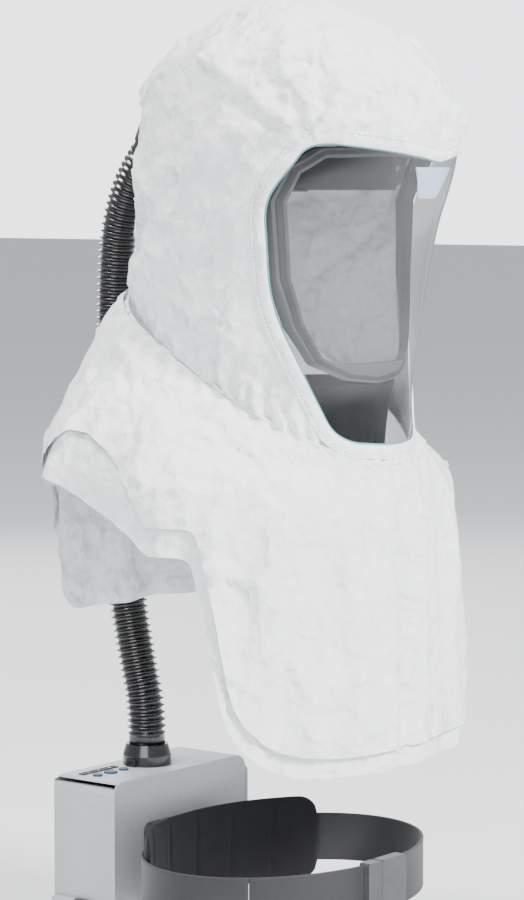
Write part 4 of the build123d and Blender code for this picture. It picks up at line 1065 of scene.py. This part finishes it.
def paddedStrip(name, path, normals, up, look, body, slot):
    # crowned pad along a path: rounded ends, thin rim, sewn channels across it
    shape, points = [], []
    for k in range(look["around"]):
        a = 2 * math.pi * k / look["around"]
        c, s = math.cos(a), math.sin(a)
        shape.append((math.copysign(abs(c) ** 0.42, c), math.copysign(abs(s) ** 0.75, s)))
    lengths = [0.0]
    for a, b in zip(path, path[1:]):
        lengths.append(lengths[-1] + (b - a).length)
    total = lengths[-1]
    for k, here in enumerate(path):
        fromEnd = min(lengths[k], total - lengths[k])
        r = look["corner"]
        high = look["height"] / 2 - r + math.sqrt(max(r * r - max(r - fromEnd, 0) ** 2, 0.0))
        thin = look["thickness"] / 2 * math.sqrt(max(0.02, 1 - max(1 - fromEnd / (r * 0.6), 0) ** 2))
        phase = (lengths[k] / total * look["channels"]) % 1.0
        pinch = 1 - look["pinch"] * math.exp(-((min(phase, 1 - phase) * total / look["channels"]) / 2.0) ** 2)
        for c, s in shape:
            rim = 1 - 0.35 * abs(c) ** 6
            puff = 0.12 * noise.noise((here + up * c * high) / 9)
            points.append(here + up * (c * high) + normals[k] * (s * thin * rim * pinch * (1 + puff)))
    piece = addPiece(name, points, tubeFaces(len(path), look["around"]), body, slot, finish="dark_textile")
    recalcOut(piece)
    return piece


upright = Vector((0, 0, 1))
padLooks = {
    "browPad": {"node": "forehead_pad", "height": 40.0, "thickness": 4.6, "corner": 10.0,
                "around": 28, "channels": 8, "pinch": 0.4,
                "arc": (77.4, 95.4, 0.0, -74.0, 74.0, 96), "lift": 5.5},
    "waistPad": {"node": "back_pad", "height": 88.0, "thickness": 7.2, "corner": 20.0,
                 "around": 36, "channels": 6, "pinch": 0.45,
                 "arc": (161.0, 116.0, 15.0, 122.0, 238.0, 110), "lift": -690.0},
}
for name, look in padLooks.items():
    path, normals = ellipseArc(*look["arc"])
    path = [p + upright * look["lift"] for p in path]
    pad = paddedStrip(name, path, normals, upright, look, "root", slotOf[look["node"]])
    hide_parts(look["node"])
sleeveLook = {"height": 41.0, "thickness": 2.2, "corner": 6.0, "around": 28, "channels": 1, "pinch": 0.0}
path, normals = ellipseArc(83.6, 101.6, 0.0, -60.0, 60.0, 84)
sleeve = paddedStrip("browSleeve", [p + upright * 5.5 for p in path], normals, upright, sleeveLook, "root", "dark_textile")
low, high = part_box("nape_pad")
napeLook = {"height": (high[2] - low[2]) / mm - 0.5, "thickness": (high[1] - low[1]) / mm - 0.2, "corner": 8.0, "around": 28,
            "channels": 3, "pinch": 0.35}
napeY = (low[1] + high[1]) / 2 / mm
napeWide, napeZ = (high[0] - low[0]) / mm - 1.0, (low[2] + high[2]) / 2 / mm
path = [Vector((low[0] / mm + 0.5 + napeWide * k / 48, napeY, napeZ)) for k in range(49)]
nape = paddedStrip("napePad", path, [Vector((0, 1, 0))] * 49, upright, napeLook, "root", slotOf["nape_pad"])
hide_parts("nape_pad")
print("pads made")


def webStrip(name, path, normals, across, look, slot, finish, body="root"):
    # woven strap: flat section with rounded, thicker selvedges
    half, thick = look["width"] / 2, look["thickness"] / 2
    profile = [
        (-1, 0.0), (-0.985, 0.8), (-0.93, 1.0), (-0.88, 0.75), (0.0, 0.8), (0.88, 0.75), (0.93, 1.0), (0.985, 0.8), (1, 0.0)]
    section = profile + [(a, -b) for a, b in reversed(profile[1:-1])]
    points, uv, run = [], [], 0.0
    for k, here in enumerate(path):
        run += (here - path[k - 1]).length if k else 0.0
        for a, b in section:
            points.append(here + across * (a * half) + normals[k] * (b * thick))
            uv.append((run * mm, a * half * mm))
    piece = addPiece(name, points, tubeFaces(len(path), len(section)), body, slot, finish=finish, uv=uv)
    recalcOut(piece)
    return piece


strapFoot = 26.6     # height of a crown strap's ends
crownStraps = {
    "crownWebCross": {"node": "crown_strap_cross", "half": 82.8, "tall": 98.0,
                      "width": 22.0, "thickness": 1.5, "way": Vector((1, 0, 0))},
    "crownWebLong": {"node": "crown_strap_long", "half": 100.8, "tall": 100.5,
                     "width": 22.0, "thickness": 1.5, "way": Vector((0, 1, 0))},
}
for name, strap in crownStraps.items():
    lowest = math.degrees(math.asin(strapFoot / strap["tall"]))
    path, normals = [], []
    for k in range(73):
        a = math.radians(lowest + (180 - 2 * lowest) * k / 72)
        path.append(strap["way"] * (strap["half"] * math.cos(a)) + upright * (strap["tall"] * math.sin(a)))
        normals.append((strap["way"] * (math.cos(a) / strap["half"]) + upright * (math.sin(a) / strap["tall"])).normalized())
    across = strap["way"].cross(upright)
    piece = webStrip(name, path, normals, across, strap, slotOf[strap["node"]], "strapWeb")
    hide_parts(strap["node"])

armStrip = {"start": Vector((73.0, 42.4, -7.0)), "middle": Vector((62.0, 88.0, -7.0)), "end": Vector((38.6, 107.4, -7.0)),
            "height": 20.0, "thickness": 1.35, "count": 40}


def arcThrough(a, b, c, count):
    # circle through three points at one height
    ax, ay, bx, by, cx, cy = a.x, a.y, b.x, b.y, c.x, c.y
    d = 2 * (ax * (by - cy) + bx * (cy - ay) + cx * (ay - by))
    ux = ((ax**2 + ay**2) * (by - cy) + (bx**2 + by**2) * (cy - ay) + (cx**2 + cy**2) * (ay - by)) / d
    uy = ((ax**2 + ay**2) * (cx - bx) + (bx**2 + by**2) * (ax - cx) + (cx**2 + cy**2) * (bx - ax)) / d
    middle = Vector((ux, uy, a.z))
    start, end = math.atan2(ay - uy, ax - ux), math.atan2(cy - uy, cx - ux)
    radius = (a - middle).length
    turns = [start + (end - start) * k / count for k in range(count + 1)]
    return [middle + Vector((math.cos(a), math.sin(a), 0)) * radius for a in turns], middle


armPath, armMiddle = arcThrough(armStrip["start"], armStrip["middle"], armStrip["end"], armStrip["count"])
sideArms = (
    ("sideArmLeft", 1, "band_arm_left", "rack_left_body"), ("sideArmRight", -1, "band_arm_right", "rack_right_body"))
for name, side, node, body in sideArms:
    path = [Vector((p.x * side, p.y, p.z)) for p in armPath]
    centre = Vector((armMiddle.x * side, armMiddle.y, armMiddle.z))
    normals = [(p - centre).normalized() for p in path]
    arm = webStrip(name, path, normals, upright, {"width": armStrip["height"], "thickness": armStrip["thickness"]},
                   slotOf[node], slotOf[node], body=None)
    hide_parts(node)
    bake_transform(arm)
print("head harness strapped")


# waist belt and its free tail
beltStrap = {"half": 166.2, "long": 121.2, "middle": 15.0, "height": -690.0, "width": 50.0, "thickness": 2.3}
tailReach, buckleHalf = 50.0, 31.3
tailTurn = math.degrees(math.acos((beltStrap["middle"] + tailReach) / beltStrap["long"]))
buckleTurn = math.degrees(math.asin(buckleHalf / beltStrap["half"]))


def beltArc(start, end, count):
    path, normals = ellipseArc(beltStrap["half"], beltStrap["long"], beltStrap["middle"], start, end, count)
    return [p + upright * beltStrap["height"] for p in path], normals


path, normals = beltArc(buckleTurn, 360 - tailTurn, 170)
belt = webStrip("waistWebbing", path, normals, upright, beltStrap, slotOf["belt"], "webbing")
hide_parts("belt")
path, normals = beltArc(-tailTurn + 0.2, -buckleTurn, 60)
tail = webStrip("waistTail", path, normals, upright, beltStrap, slotOf["belt_tail"], "webbing", body=None)
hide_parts("belt_tail")
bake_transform(tail)


# breathing hose: the route's points from the upper cuff to the blower
hosePoints = [
    (0, 0.1837, 0.0278), (0, 0.2067, 0.0003), (0, 0.2227, -0.0322), (0, 0.232, -0.071), (0, 0.236, -0.150),
    (0, 0.234, -0.290), (0, 0.224, -0.415), (0, 0.207, -0.497), (0, 0.194, -0.545), (0, 0.194, -0.583)]
hoseLook = {"pitch": 0.0068, "peak": 0.0199, "root": 0.0163, "cuff": 0.0188, "around": 40, "plain": 0.010,
            "steps": ((0.0, 1.0), (0.1, 0.82), (0.24, 0.22), (0.5, 0.0), (0.76, 0.22), (0.9, 0.82))}


def readSpline(controls):
    curve = bpy.data.curves.new("hoseLine", "CURVE")
    curve.dimensions, curve.resolution_u = "3D", 24
    spline = curve.splines.new("NURBS")
    spline.points.add(len(controls) - 1)
    for point, place in zip(spline.points, controls):
        point.co = (*place, 1)
    spline.order_u = 3
    spline.use_endpoint_u = True
    line = bpy.data.objects.new("hoseLine", curve)
    mesh = bpy.data.meshes.new_from_object(line)
    path = [v.co.copy() for v in mesh.vertices]
    bpy.data.objects.remove(line)
    bpy.data.meshes.remove(mesh)
    return path


def makeHose():
    path = readSpline(hosePoints)
    lengths = [0.0]
    for a, b in zip(path, path[1:]):
        lengths.append(lengths[-1] + (b - a).length)
    total = lengths[-1]

    def spotAt(run):
        k = min(max(bisect.bisect_right(lengths, run) - 1, 0), len(path) - 2)
        share = (run - lengths[k]) / (lengths[k + 1] - lengths[k])
        return path[k].lerp(path[k + 1], share), (path[k + 1] - path[k]).normalized()

    plain = hoseLook["plain"]
    stations = [(0.0, hoseLook["cuff"]), (plain * 0.5, hoseLook["cuff"]), (plain * 0.9, hoseLook["cuff"] * 0.97)]
    count = int((total - 2 * plain) / hoseLook["pitch"])
    pitch = (total - 2 * plain) / count
    for k in range(count):
        for share, height in hoseLook["steps"]:
            stations.append((plain + (k + share) * pitch, hoseLook["root"] + (hoseLook["peak"] - hoseLook["root"]) * height))
    stations += [
        (total - plain * 0.9, hoseLook["cuff"] * 0.97), (total - plain * 0.5, hoseLook["cuff"]), (total, hoseLook["cuff"])]
    points, around = [], hoseLook["around"]
    side = Vector((1, 0, 0))
    for run, radius in stations:
        # directions are averaged over a pitch so that rings turn evenly
        here = spotAt(run)[0]
        ahead = (spotAt(min(run + 0.004, total))[0] - spotAt(max(run - 0.004, 0.0))[0]).normalized()
        up = ahead.cross(side)
        for k in range(around):
            a = 2 * math.pi * k / around
            points.append(here + (side * math.cos(a) + up * math.sin(a)) * radius)
    hose = addPiece("breathingHose", points, tubeFaces(len(stations), around), "root", "hose_black", scale=1.0)
    recalcOut(hose)
    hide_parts("hose")
    print("hose length", round(total, 4), "m in", count, "ribs")


makeHose()


# charge and flow lamps in a raised bar behind the buttons
lampBar = {"across": 54.0, "deep": 7.0, "high": 3.0, "behind": 16.0, "corner": 2.4, "rim": 0.9, "recess": 0.7,
           "lamps": 3, "spacing": 16.0, "lampRadius": 1.9, "lampHigh": 2.6, "dome": 0.7}


def pickFaces(piece, test):
    # the faces that pass the test are selected for the next edit
    bpy.ops.object.mode_set(mode="EDIT")
    bpy.ops.mesh.select_mode(type="FACE")
    bpy.ops.mesh.select_all(action="DESELECT")
    bpy.ops.object.mode_set(mode="OBJECT")
    for face in piece.data.polygons:
        face.select = test(face)
    bpy.ops.object.mode_set(mode="EDIT")


def finishPart(piece, name, finish, body="root"):
    bpy.ops.object.mode_set(mode="OBJECT")
    bpy.ops.object.transform_apply(location=True, rotation=True, scale=True)
    bpy.ops.object.shade_smooth_by_angle(angle=math.radians(35))
    piece.name = name
    piece.data.materials.clear()
    piece.data.materials.append(materials[finish])
    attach(piece, body)
    return piece


def makeLamps():
    low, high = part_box("flow_down_button")
    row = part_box("power_button")
    middle = (row[0][0] + row[1][0]) / 2
    y = (low[1] + high[1]) / 2 + lampBar["behind"] * mm
    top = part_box("blower_housing_front")[1][2]
    bpy.ops.object.select_all(action="DESELECT")
    bpy.ops.mesh.primitive_cube_add(size=1.0, location=(middle, y, top))
    bar = bpy.context.object
    bar.scale = (lampBar["across"] * mm, lampBar["deep"] * mm, lampBar["high"] * mm)
    bpy.ops.object.transform_apply(location=False, rotation=False, scale=True)
    pickFaces(bar, lambda face: face.normal.z > 0.9)
    bpy.ops.mesh.bevel(offset=0.6 * mm, segments=3, affect="EDGES")
    pickFaces(bar, lambda face: face.normal.z > 0.99)
    bpy.ops.mesh.inset(thickness=lampBar["rim"] * mm)
    bpy.ops.mesh.extrude_region_move(TRANSFORM_OT_translate={"value": (0, 0, -lampBar["recess"] * mm)})
    finishPart(bar, "lampBar", "unit_trim")
    bpy.ops.object.select_all(action="DESELECT")
    start = (middle - lampBar["spacing"] * mm, y, top)
    bpy.ops.mesh.primitive_cylinder_add(
        vertices=24, radius=lampBar["lampRadius"] * mm, depth=lampBar["lampHigh"] * mm, location=start)
    lamp = bpy.context.object
    pickFaces(lamp, lambda face: face.normal.z > 0.9)
    bpy.ops.mesh.bevel(offset=lampBar["dome"] * mm, segments=4, affect="EDGES")
    finishPart(lamp, "flowLamp1", "lamp_green")
    for k in range(1, lampBar["lamps"]):
        twin = linkObject(bpy.data.objects.new("flowLamp" + str(k + 1), lamp.data.copy()))
        twin.data.transform(Matrix.Translation((lampBar["spacing"] * mm * k, 0, 0)))
        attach(twin, "root")
    print("lamps set in the blower")


makeLamps()


# pale floor
def makeFloor():
    half, z = studio["floorSize"] / 2, studio["floorHeight"]
    mesh = bpy.data.meshes.new("studioFloor")
    mesh.from_pydata([(-half, -half, z), (half, -half, z), (half, half, z), (-half, half, z)], [], [(0, 1, 2, 3)])
    material, tree, shader, where = newMaterial("paleFloor", {"Base Color": (0.74, 0.75, 0.76, 1), "Roughness": 0.85})
    grain = placeGroup(tree, grainGroup, {"Vector": where, "Scale": 6.0, "Low": 0.8, "High": 0.95})
    tree.links.new(grain.outputs["Value"], shader.inputs["Roughness"])
    mesh.materials.append(material)
    linkObject(bpy.data.objects.new("studioFloor", mesh))


makeFloor()
print("model finished")
